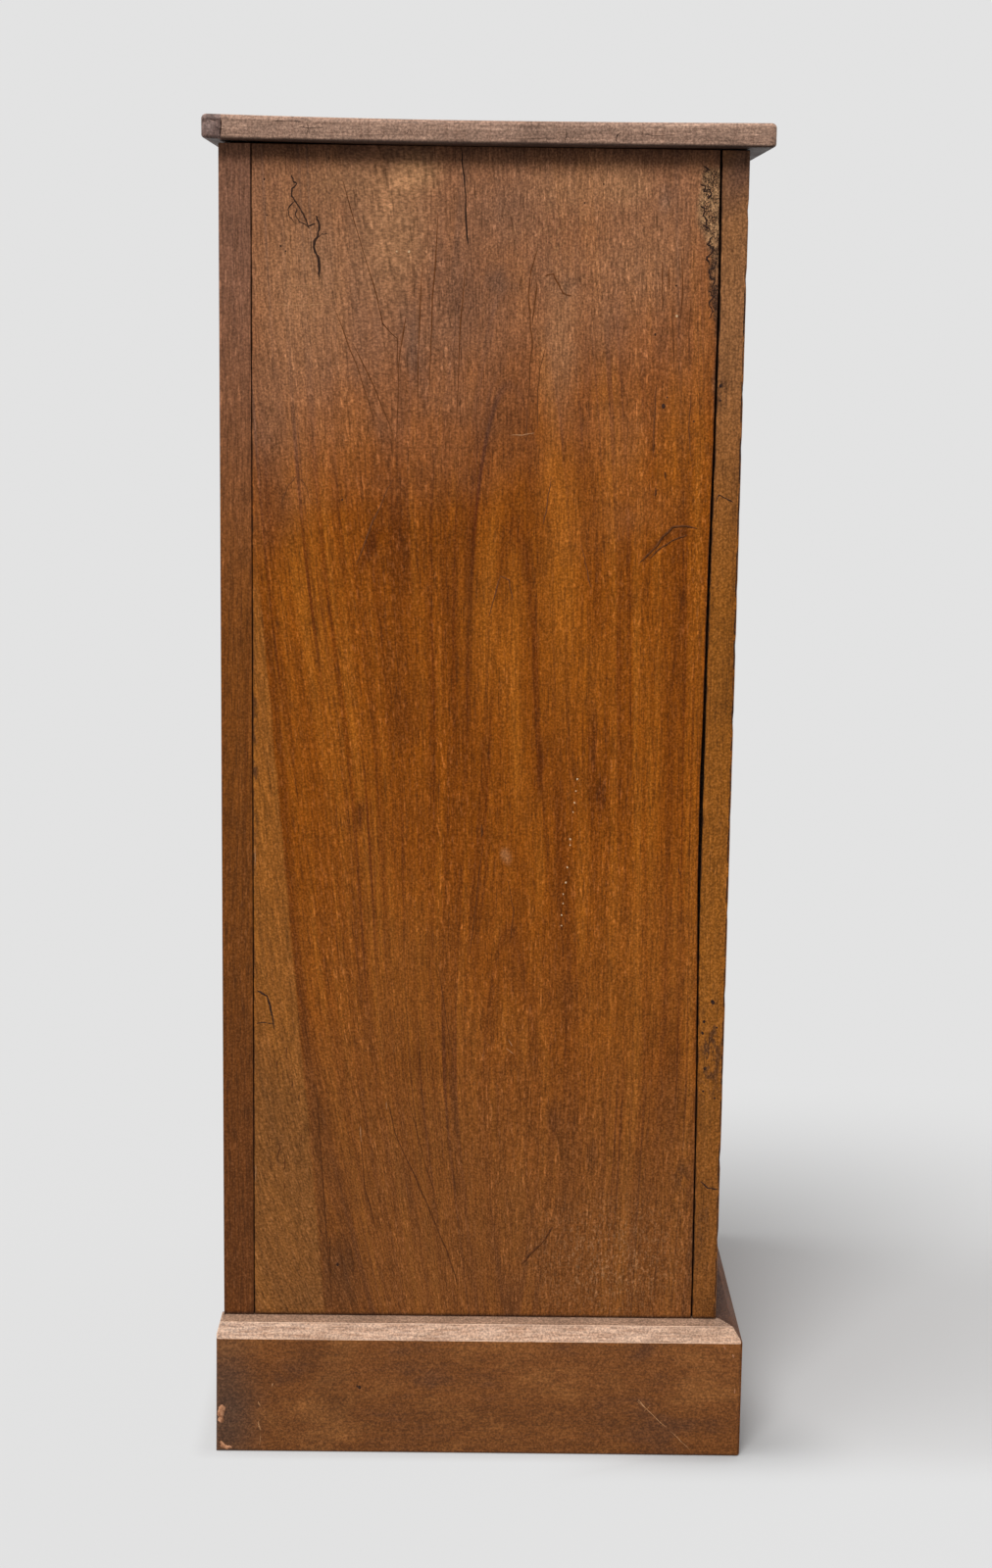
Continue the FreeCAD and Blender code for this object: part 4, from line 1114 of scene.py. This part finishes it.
# Drawers. A turned knob's outline is one curve, by radius and distance out from the face in millimetres
KNOB_CURVE = [
    (11, 0), (11, 1.6), (11, 3), (9.6, 3.6), (7.2, 5.2), (6.9, 9.5), (8.6, 14.2),
    (14.5, 15.6), (17, 18), (17, 21.5), (15.4, 26), (9.6, 29.4), (4.5, 30), (0, 30),
]
KNOB_LENGTH = 30 * MM
KNOB_RADIUS = 17 * MM
KNOB_STEPS = 40
KNOB_MERGE = 0.01 * MM


def turned_knobs(body):
    """A drawer's two knobs, each turned round its own axis."""
    node = body + "_knobs"
    low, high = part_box(node)
    shape = bmesh.new()
    for across in (low.x + KNOB_RADIUS, high.x - KNOB_RADIUS):
        centre = Vector((across, low.y + KNOB_LENGTH, (low.z + high.z) / 2))
        curve = new_curve(node + "_profile")
        profile = [centre + Vector((radius * MM, -out * MM, 0)) for radius, out in KNOB_CURVE]
        line = add_line(curve, "NURBS", profile)
        line.order_u = 3
        line.use_endpoint_u = True
        line.resolution_u = 3
        verts = added_copy(shape, curve_mesh(node + "_profile", curve))
        edges = {edge for vert in verts for edge in vert.link_edges}
        bmesh.ops.spin(
            shape, geom=verts + list(edges), cent=centre, axis=(0, 1, 0), angle=2 * math.pi,
            steps=KNOB_STEPS, use_merge=True,
        )
    bmesh.ops.remove_doubles(shape, verts=shape.verts, dist=KNOB_MERGE)
    bmesh.ops.holes_fill(shape, edges=[edge for edge in shape.edges if edge.is_boundary])
    bmesh.ops.recalc_face_normals(shape, faces=shape.faces)
    add_piece(node + "_turned", finished_mesh(node + "_turned", shape), knob_wood, body, node)


for number, face_wood in enumerate(face_woods, 1):
    drawer = f"drawer_{number}"
    dressed(drawer + "_front", face_wood, 0.5, body=drawer)
    dressed(drawer + "_sides", lining_wood, 0.4, body=drawer)
    dressed(drawer + "_back", lining_cross_wood, 0.4, body=drawer)
    finish_solid(drawer + "_bottom", lining_cross_wood)
    turned_knobs(drawer)


# Screws of the hinges and the keeper

SCREW_PROUD = 0.12 * MM
SCREW_SLOT_SHARE = 0.32
SCREW_SIDES = 20


def new_verts(made):
    """The vertices among what an extrusion made."""
    return [part for part in made["geom"] if isinstance(part, bmesh.types.BMVert)]


def screw_head(radius):
    """A slotted screw head that faces +Z, with its rim sunk below zero."""
    half_slot = SCREW_SLOT_SHARE * radius / 2
    shape = bmesh.new()
    bmesh.ops.create_circle(shape, cap_ends=True, segments=SCREW_SIDES, radius=radius)
    for side in (-1, 1):
        cut_through(shape, (0, side * half_slot, 0), (0, 1, 0))
    rim = bmesh.ops.extrude_edge_only(shape, edges=[edge for edge in shape.edges if edge.is_boundary])
    bmesh.ops.translate(shape, verts=new_verts(rim), vec=(0, 0, -2 * SCREW_PROUD))
    shape.faces.ensure_lookup_table()
    slot = [f for f in shape.faces if f.normal.z > 0.9 and abs(f.calc_center_median().y) < half_slot]
    floor = bmesh.ops.extrude_face_region(shape, geom=slot)
    bmesh.ops.translate(shape, verts=new_verts(floor), vec=(0, 0, -1.5 * SCREW_PROUD))
    bmesh.ops.delete(shape, geom=slot, context="FACES_ONLY")
    bmesh.ops.translate(shape, verts=shape.verts, vec=(0, 0, SCREW_PROUD))
    return plain_mesh("screw_head", shape)


def drive_screws(name, body, places, facing, radius):
    """Slotted screws at their places, each turned as it came to rest."""
    head = screw_head(radius)
    shape = bmesh.new()
    for place in places:
        verts = added_copy(shape, head)
        turn = Quaternion((0, 0, 1), draw.uniform(0, math.pi))
        stand = Vector(facing).to_track_quat("Z", "Y") @ turn
        bmesh.ops.transform(
            shape, matrix=Matrix.Translation(place) @ stand.to_matrix().to_4x4(), verts=verts,
        )
    add_piece(name, finished_mesh(name, shape), brass, body)


HINGE_SCREWS = (-16 * MM, 0, 16 * MM)
HINGE_SCREW_RADIUS = 2.2 * MM
HINGE_HALF = 25 * MM
SCREW_LINE = 4.8 * MM
KEEPER_SCREWS = (-4 * MM, 4 * MM)
KEEPER_SCREW_RADIUS = 1.3 * MM
leaf_low, leaf_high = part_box("hinge_carcass_leaves")
hinge_middles = (leaf_low.z + HINGE_HALF, (leaf_low.z + leaf_high.z) / 2, leaf_high.z - HINGE_HALF)
hinge_heights = [middle + step for middle in hinge_middles for step in HINGE_SCREWS]
carcass_leaf_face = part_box("right_side")[0].y
stile_leaf_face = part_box("locking_stile")[0].x
stile_leaf_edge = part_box("hinge_stile_leaves")[0].y
drive_screws(
    "hinge_carcass_screws", CARCASS,
    [Vector((leaf_low.x + SCREW_LINE, carcass_leaf_face, height)) for height in hinge_heights],
    (0, -1, 0), HINGE_SCREW_RADIUS,
)
drive_screws(
    "hinge_stile_screws", STILE,
    [Vector((stile_leaf_face, stile_leaf_edge + SCREW_LINE, height)) for height in hinge_heights],
    (-1, 0, 0), HINGE_SCREW_RADIUS,
)
keeper_low, keeper_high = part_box("lock_keeper")
keeper_middle = (keeper_low + keeper_high) / 2
drive_screws(
    "keeper_screws", CARCASS,
    [Vector((keeper_middle.x, keeper_low.y, keeper_middle.z + step)) for step in KEEPER_SCREWS],
    (0, -1, 0), KEEPER_SCREW_RADIUS,
)


# Old marks on the left of the chest. Their places are Y and Z, and these and their widths are in millimetres.
# They stand a little off the wood that carries them, and are nearly flat
MARK_PROUD = 0.04 * MM
MARK_FLATNESS = 0.06
MARK_TAPER = 0.35


def jagged(points, sway):
    """The same line in shorter runs, which stray a little to either side."""
    line = [Vector(points[0])]
    for start, end in zip(points, points[1:]):
        run = Vector(end) - Vector(start)
        across = Vector((-run.y, run.x)).normalized()
        for share in (0.33, 0.67):
            line.append(Vector(start) + run * share + across * draw.uniform(-sway, sway))
        line.append(Vector(end))
    return line


def strokes_on(name, face, strokes, material, sway=0.5):
    """Lines pressed nearly flat on a face that looks towards -X. Each has a width and its points."""
    curve = new_curve(name)
    curve.bevel_depth = 1.0
    curve.bevel_resolution = 1
    curve.use_fill_caps = True
    for width, points in strokes:
        line = add_line(curve, "POLY", [(0, place.x * MM, place.y * MM) for place in jagged(points, sway)])
        for point in line.points:
            point.radius = width / 2 * MM * draw.uniform(0.6, 1.25)
        line.points[0].radius *= MARK_TAPER
        line.points[-1].radius *= MARK_TAPER
    mesh = curve_mesh(name, curve)
    mesh.transform(Matrix.Translation((face - MARK_PROUD, 0, 0)) @ Matrix.Diagonal((MARK_FLATNESS, 1, 1, 1)))
    add_piece(name, mesh, material, CARCASS)


def spots_on(name, face, spots, material):
    """Small flat spots on a face that looks towards -X. Each has its place and its width."""
    shape = bmesh.new()
    for along, height, width in spots:
        made = bmesh.ops.create_uvsphere(shape, u_segments=10, v_segments=6, radius=width / 2 * MM)["verts"]
        bmesh.ops.scale(shape, vec=(MARK_FLATNESS, 1, draw.uniform(0.8, 1.5)), verts=made)
        turn = Matrix.Rotation(draw.uniform(-0.5, 0.5), 3, "X")
        bmesh.ops.rotate(shape, matrix=turn, verts=made)
        bmesh.ops.translate(shape, vec=(face - MARK_PROUD, along * MM, height * MM), verts=made)
    add_piece(name, finished_mesh(name, shape), material, CARCASS)


strokes_on("side_cracks", SIDE_FACE, [
    (1.4, [(157, 1077), (156, 1072), (153, 1070), (157, 1066), (157, 1060), (154, 1056), (150, 1050),
           (147, 1044), (144, 1037), (138, 1039)]),
    (1.0, [(155, 1056), (160, 1050), (159, 1044), (154, 1039)]),
    (2.2, [(138, 1045), (136, 1041), (135, 1036), (136, 1030), (139, 1025), (139, 1019), (136, 1013),
           (135, 1005), (135, 997)]),
    (1.1, [(128, 1031), (133, 1031), (138, 1027)]),
    (1.1, [(153, 1051), (154, 1045), (151, 1040), (146, 1038), (143, 1035)]),
    (1.3, [(22, 1100), (21, 1085), (18, 1062), (17, 1035), (16, 1024)]),
    (1.5, [(187, 406), (178, 401), (175, 389), (172, 372)]), (0.9, [(187, 377), (180, 378), (173, 377)]),
], crack_dark)
strokes_on("side_grain_lines", SIDE_FACE, [
    (0.9, [(116, 1072), (99, 1015), (88, 980), (84, 961), (72, 949), (72, 922)]),
    (2.2, [(-128, 771), (-139, 782), (-147, 793), (-154, 800), (-164, 801), (-174, 799)]),
    (1.6, [(-136, 774), (-146, 784), (-156, 790), (-166, 794)]), (1.2, [(137, 330), (131, 240), (122, 120)]),
    (1.3, [(76, 311), (68, 278), (52, 244), (38, 210), (24, 177), (15, 148)]),
    (0.8, [(34, 429), (28, 390), (20, 348)]), (1.0, [(57, 306), (44, 256), (35, 227)]),
    (1.0, [(100, 289), (95, 232), (81, 182)]), (1.8, [(124, 190), (125, 172), (124, 153)]),
    (1.6, [(116, 181), (114, 165), (115, 147)]), (1.5, [(108, 184), (106, 172), (104, 161)]),
    (1.0, [(165, 336), (165, 328)]), (1.1, [(157, 328), (157, 321)]), (1.0, [(151, 317), (151, 309)]),
    (0.9, [(149, 281), (149, 274)]), (1.1, [(164, 237), (164, 229)]),
    (1.0, [(-23, 504), (-29, 477), (-26, 449)]), (0.9, [(-2, 530), (2, 492), (8, 438)]),
    (2.2, [(-137, 869), (-137, 861)]), (2.2, [(-139, 832), (-139, 825)]), (1.3, [(-147, 845), (-147, 839)]),
    (1.6, [(-166, 516), (-168, 508)]), (1.1, [(161, 358), (162, 346)]), (1.2, [(170, 345), (169, 338)]),
    (1.3, [(178, 282), (176, 272)]), (1.1, [(167, 272), (169, 259)]), (1.1, [(163, 258), (164, 248)]),
    (1.0, [(176, 254), (175, 246)]), (2.2, [(-40, 166), (-49, 177), (-60, 189), (-66, 200)]),
    (2.2, [(-1, 551), (-1, 540)]),
], line_brown)
strokes_on("side_arched_grain", SIDE_FACE, [
    (1.3, [(-40, 1021), (-35, 1005), (-33, 985), (-35, 966), (-37, 943), (-35, 924), (-34, 896), (-34, 868)]),
    (1.2, [(-40, 996), (-38, 977), (-37, 963)]), (1.2, [(-47, 942), (-43, 925), (-42, 903), (-42, 878)]),
    (1.6, [(-46, 1000), (-53, 1002), (-58, 993), (-61, 987), (-68, 985)]),
    (1.2, [(-140, 1013), (-141, 996), (-141, 974)]), (1.1, [(-146, 1009), (-146, 991)]),
    (1.2, [(-155, 1021), (-157, 996), (-156, 966)]), (1.0, [(-164, 985), (-163, 957), (-164, 924)]),
    (1.2, [(-149, 971), (-151, 943), (-152, 924)]), (1.1, [(-138, 916), (-137, 889), (-136, 854)]),
    (1.0, [(-166, 907), (-165, 882), (-168, 854)]), (1.0, [(-115, 885), (-116, 866)]),
    (1.0, [(-83, 899), (-85, 886)]), (1.1, [(108, 945), (89, 907), (74, 869)]),
    (1.0, [(123, 973), (104, 926), (89, 879)]), (1.2, [(40, 1049), (44, 982), (46, 907)]),
    (1.1, [(18, 1006), (22, 945), (24, 879)]), (1.3, [(65, 968), (71, 926), (72, 870)]),
    (1.0, [(52, 1010), (54, 960), (55, 900)]),
    (1.2, [(-5, 725), (-10, 744), (-14, 758), (-21, 755), (-24, 738)]),
    (1.0, [(166, 813), (160, 830), (154, 837), (147, 832), (141, 815)]),
    (1.3, [(105, 765), (91, 802), (74, 838)]), (1.1, [(-48, 801), (-51, 817), (-54, 840)]),
    (1.1, [(-80, 785), (-83, 770), (-88, 750)]),
], line_soft, 0.6)
strokes_on("side_scratches", SIDE_FACE, [
    (0.8, [(-26, 366), (-29, 360)]), (0.7, [(-24, 358), (-30, 353)]),
    (0.7, [(167, 975), (155, 974), (141, 975), (128, 976)]), (0.4, [(159, 990), (146, 990), (132, 990)]),
    (0.8, [(-21, 873), (-30, 873), (-40, 875)]), (0.9, [(99, 288), (98, 274)]), (0.7, [(77, 310), (77, 303)]),
    (0.7, [(188, 530), (188, 511)]), (1.0, [(188, 252), (188, 238)]),
], scratch_pale, 0.3)
spots_on("side_worm_holes", SIDE_FACE, [
    (179, 1073, 1.6), (177, 1045, 1.5), (166, 1021, 1.5), (162, 1017, 1.3), (-92, 1073, 1.3),
    (-77, 1058, 1.2), (-152, 994, 1.5), (-136, 955, 1.6), (-169, 886, 1.5), (116, 819, 1.7),
    (-144, 898, 3.0), (-147, 905, 1.2), (118, 164, 2.2),
], crack_dark)
spots_on("side_paint_specks", SIDE_FACE, [
    (-80, 590, 1.4), (-79, 580, 1.2), (-78, 570, 1.3), (-77, 562, 1.0), (-75, 539, 1.6), (-75, 534, 1.0),
    (-73, 515, 1.2), (-72, 502, 1.5), (-70, 492, 1.0), (-70, 484, 1.2), (-69, 474, 1.0), (-69, 465, 1.3),
    (-153, 970, 1.8), (63, 1018, 1.6), (73, 1018, 1.4),
], paint_white)
strokes_on("filler_cracks", SIDE_FACE, [
    (2.0, [(-171, 1088), (-176, 1085), (-173, 1083)]),
    (1.6, [(-169, 1074), (-173, 1073), (-172, 1068), (-177, 1070), (-178, 1065), (-175, 1062)]),
    (1.5, [(-170, 1057), (-173, 1054), (-172, 1049), (-175, 1046), (-174, 1041), (-178, 1038)]),
    (1.8, [(-180, 1033), (-176, 1027), (-181, 1025), (-179, 1019), (-176, 1017), (-178, 1011)]),
    (1.5, [(-183, 1009), (-178, 1007), (-179, 1001), (-183, 999), (-182, 994)]),
    (1.3, [(-178, 990), (-182, 986), (-179, 981), (-182, 974), (-179, 968)]),
], crack_dark, 0.8)
strokes_on("stile_cracks", SIDE_FACE, [
    (1.5, [(-192, 242), (-198, 236), (-207, 235)]),
    (1.1, [(-189, 821), (-191, 827), (-197, 824), (-203, 821)]),
], crack_dark, 0.3)
spots_on("stile_rough_spots", SIDE_FACE, [
    (-198, 400, 3.2), (-191, 383, 2.4), (-202, 378, 1.8), (-190, 373, 2.2), (-193, 342, 2.6),
    (-192, 322, 2.0), (-202, 316, 1.8), (-190, 915, 2.8), (-190, 903, 2.0),
], crack_dark)
strokes_on("plinth_scratch", PLINTH_FACE, [
    (0.6, [(-141, 50), (-158, 34), (-167, 26)]), (0.5, [(-170, 23), (-180, 13), (-188, 5)]),
    (1.4, [(-142, 51), (-149, 43)]), (0.6, [(-147, 40), (-152, 46)]), (1.0, [(172, 63), (173, 60)]),
    (1.2, [(185, 46), (183, 42)]), (1.7, [(185, 28), (183, 20)]), (0.5, [(183, 17), (184, 6)]),
], scratch_pale, 0.4)
strokes_on("plinth_chips", PLINTH_FACE, [
    (6.5, [(216, 43), (217, 36), (217, 30), (218, 27)]), (4.5, [(217, 10), (216, 6), (213, 4), (208, 4)]),
    (1.6, [(-214, 100), (-216, 98)]), (1.5, [(-222, 93), (-223, 90)]), (1.3, [(-225, 62), (-225, 58)]),
], chip_bare)
spots_on("plinth_knot", PLINTH_FACE, [(98, 60, 2.6), (100, 61, 1.6)], crack_dark)


# Dark lines along the fixed stile's outer corner, in broken lengths
DARK_EDGE_HEAD = 1012
DARK_EDGE_FOOT = 130
DARK_EDGE_PLACE = -207.3


def dark_edge_lengths():
    """Dark lines in broken lengths from the head of the stile to its foot."""
    strokes = []
    height = DARK_EDGE_HEAD
    while height > DARK_EDGE_FOOT:
        length = draw.uniform(8, 46)
        line = []
        for share in (0, 0.3, 0.7, 1):
            line.append((DARK_EDGE_PLACE + draw.uniform(-0.2, 0.35), height - length * share))
        strokes.append((draw.uniform(0.6, 1.3), line))
        height -= length + draw.uniform(2, 14)
    return strokes


strokes_on("stile_dark_edge_lengths", SIDE_FACE, dark_edge_lengths(), crack_dark, 0.15)
strokes_on("top_edge_cracks", TOP_FACE, [
    (1.3, [(212, 1119), (211.6, 1113), (212.4, 1105)]), (0.6, [(221, 1118), (217, 1117), (213, 1118)]),
    (0.7, [(170, 1117), (158, 1117.5), (146, 1117)]), (0.6, [(144, 1105), (143, 1112), (144, 1117)]),
    (0.5, [(-60, 1104), (-61, 1110), (-60, 1115)]), (0.8, [(-100, 1105), (-101, 1110), (-104, 1112)]),
    (0.5, [(216, 1112), (212, 1110), (207, 1111)]), (0.5, [(150, 1113), (141, 1112), (128, 1113)]),
    (0.4, [(66, 1108), (63, 1112), (60, 1108), (57, 1112)]), (0.4, [(-30, 1106), (-52, 1107)]),
    (0.4, [(-120, 1111), (-131, 1110), (-149, 1111)]),
], crack_dark, 0.3)


# Pale studio. Each lamp has a name, the way its light travels, its level and its softness in degrees
BACKDROP_LEVEL = 0.767
BACKDROP = (BACKDROP_LEVEL, BACKDROP_LEVEL, BACKDROP_LEVEL, 1)
ROOM_LIGHT = 0.30
FLOOR_BOUNCE = 0.22
FLOOR_SIZE = 60.0
LAMPS = [
    ("side_softbox", Vector((0.68, -0.20, -0.70)), 0.85, 24),
    ("head_softbox", Vector((0.15, -0.65, -0.75)), 0.52, 60),
    ("front_fill", Vector((-0.45, 0.60, -0.66)), 0.45, 90),
]
# The floor keeps the shadow round a middle point and fades into the backdrop away from it
SHADOW_MIDDLE = Vector((-0.02, -0.36, 0))
SHADOW_STRETCH = Vector((1.5, 0.8, 0))
SHADOW_NEAR = 0.34
SHADOW_FAR = 1.3
# It is lit evenly beside the photographed side and behind the chest, but less so right at the plinth
EVEN_SIDE = -0.25
EVEN_SIDE_REACH = 0.09
EVEN_BACK = -0.23
EVEN_BACK_REACH = 0.18
EVEN_SHARE = 0.93
CONTACT_REACH = 0.02
# A painted shadow darkens the floor's colour round the plinth's near front corner
CORNER_SHADE = 0.74
CORNER_REACH = 0.13


def seen_directly(tree):
    """Whether a ray comes from the camera, or from gloss or glass that shows the room."""
    path = add_node("LightPath", {}, tree).outputs
    seen = calc("MAXIMUM", path["Is Camera Ray"], path["Is Glossy Ray"])
    return calc("MAXIMUM", seen, path["Is Transmission Ray"])


def even_light(coords):
    """How evenly the floor is lit at each place: least in the shadow, and right at the plinth."""
    away = vector_calc("MULTIPLY", vector_calc("SUBTRACT", coords, SHADOW_MIDDLE), SHADOW_STRETCH)
    place = split(coords)
    camera_side = ranged(place["X"], EVEN_SIDE, EVEN_SIDE - EVEN_SIDE_REACH, 0.0, EVEN_SHARE)
    behind = ranged(place["Y"], EVEN_BACK, EVEN_BACK + EVEN_BACK_REACH, 0.0, EVEN_SHARE)
    hidden = times(ranged(place["Y"], PLINTH_HALF.y, 0.0), ranged(place["X"], 0.0, PLINTH_HALF.x))
    behind = times(behind, minus(1.0, hidden))
    even = calc("MAXIMUM", ranged(length_of(away), SHADOW_NEAR, SHADOW_FAR), camera_side)
    even = calc("MAXIMUM", even, behind)
    outside = vector_calc("MAXIMUM", vector_calc("SUBTRACT", vector_calc("ABSOLUTE", coords), PLINTH_HALF))
    return times(even, ranged(length_of(outside), 0.0, CONTACT_REACH, 0.5, 1.0))


def lay_floor():
    """A wide pale floor that keeps the shadow beside the chest, with a painted shadow at the plinth's near
    front corner, and fades into the backdrop.
    """
    shape = bmesh.new()
    bmesh.ops.create_grid(shape, x_segments=1, y_segments=1, size=FLOOR_SIZE / 2)
    made, shader, coords = new_material("studio_floor_paint")
    tree = made.node_tree
    falling = ROOM_LIGHT - sum(level * travel.normalized().z for _, travel, level, _ in LAMPS)
    seen = seen_directly(tree)
    level = ranged(seen, 0.0, 1.0, FLOOR_BOUNCE, BACKDROP_LEVEL / falling)
    level = times(level, ranged(noise_of(coords, 3.0, 0.5, 3.0), 0.0, 1.0, 0.995, 1.005))
    # Painted shadow round the plinth's near front corner
    corner = length_of(vector_calc("ADD", coords, (PLINTH_HALF.x, PLINTH_HALF.y, 0.0)))
    level = times(level, ranged(corner, 0.0, CORNER_REACH, CORNER_SHADE, 1.0))
    link(level, shader, "Base Color")
    shader.inputs["Roughness"].default_value = 1.0
    shader.inputs["Specular IOR Level"].default_value = 0.0
    even = times(seen, even_light(coords))
    paper = add_node("Emission", {"Color": BACKDROP}, tree).outputs[0]
    mixed = add_node("MixShader", {0: even, 1: shader.outputs["BSDF"], 2: paper}).outputs[0]
    link(mixed, next(node for node in tree.nodes if node.type == "OUTPUT_MATERIAL"), "Surface")
    bare_object("studio_floor", plain_mesh("studio_floor", shape), made)


def light_room():
    """An even room whose backdrop shows as pale as the floor."""
    world = bpy.data.worlds.new("studio")
    scene.world = world
    world.use_nodes = True
    tree = world.node_tree
    tree.nodes.clear()
    backdrop = add_node("Background", {"Color": BACKDROP}, tree).outputs[0]
    glow = add_node("Background", {"Color": (1, 1, 1, 1), "Strength": ROOM_LIGHT}, tree).outputs[0]
    mixed = add_node("MixShader", {0: seen_directly(tree), 1: glow, 2: backdrop}).outputs[0]
    add_node("OutputWorld", {"Surface": mixed})


def stand_at(name, data, turn):
    """A lamp or a camera in the scene, turned its own way."""
    made = bpy.data.objects.new(name, data)
    made.rotation_mode = "QUATERNION"
    made.rotation_quaternion = turn
    scene.collection.objects.link(made)
    return made


def hang_lamp(name, travel, level, softness):
    """A far, soft lamp whose light travels along a vector."""
    lamp = bpy.data.lights.new(name, "SUN")
    lamp.energy = level * math.pi
    lamp.angle = math.radians(softness)
    stand_at(name, lamp, travel.to_track_quat("-Z", "Y"))


# The camera, at the photograph's place beside the chest
CAMERA_PLACE = Vector((-2.4085, 0.0075, 0.9706))
CAMERA_YAW = 0.0093
CAMERA_PITCH = 0.1777
CAMERA_ROLL = 0.0136
CAMERA_LENS = 60.23
SENSOR = 36.0


def place_camera():
    """The camera, which looks a little down at the chest's left side."""
    look = Vector((
        math.cos(CAMERA_PITCH) * math.cos(CAMERA_YAW),
        -math.cos(CAMERA_PITCH) * math.sin(CAMERA_YAW),
        -math.sin(CAMERA_PITCH),
    ))
    data = bpy.data.cameras.new("photographer")
    data.lens = CAMERA_LENS
    data.sensor_width = SENSOR
    data.clip_end = 2 * FLOOR_SIZE
    turn = look.to_track_quat("-Z", "Y") @ Quaternion((0, 0, 1), CAMERA_ROLL)
    scene.camera = stand_at("photographer", data, turn)
    scene.camera.location = CAMERA_PLACE


lay_floor()
light_room()
for lamp in LAMPS:
    hang_lamp(*lamp)
place_camera()
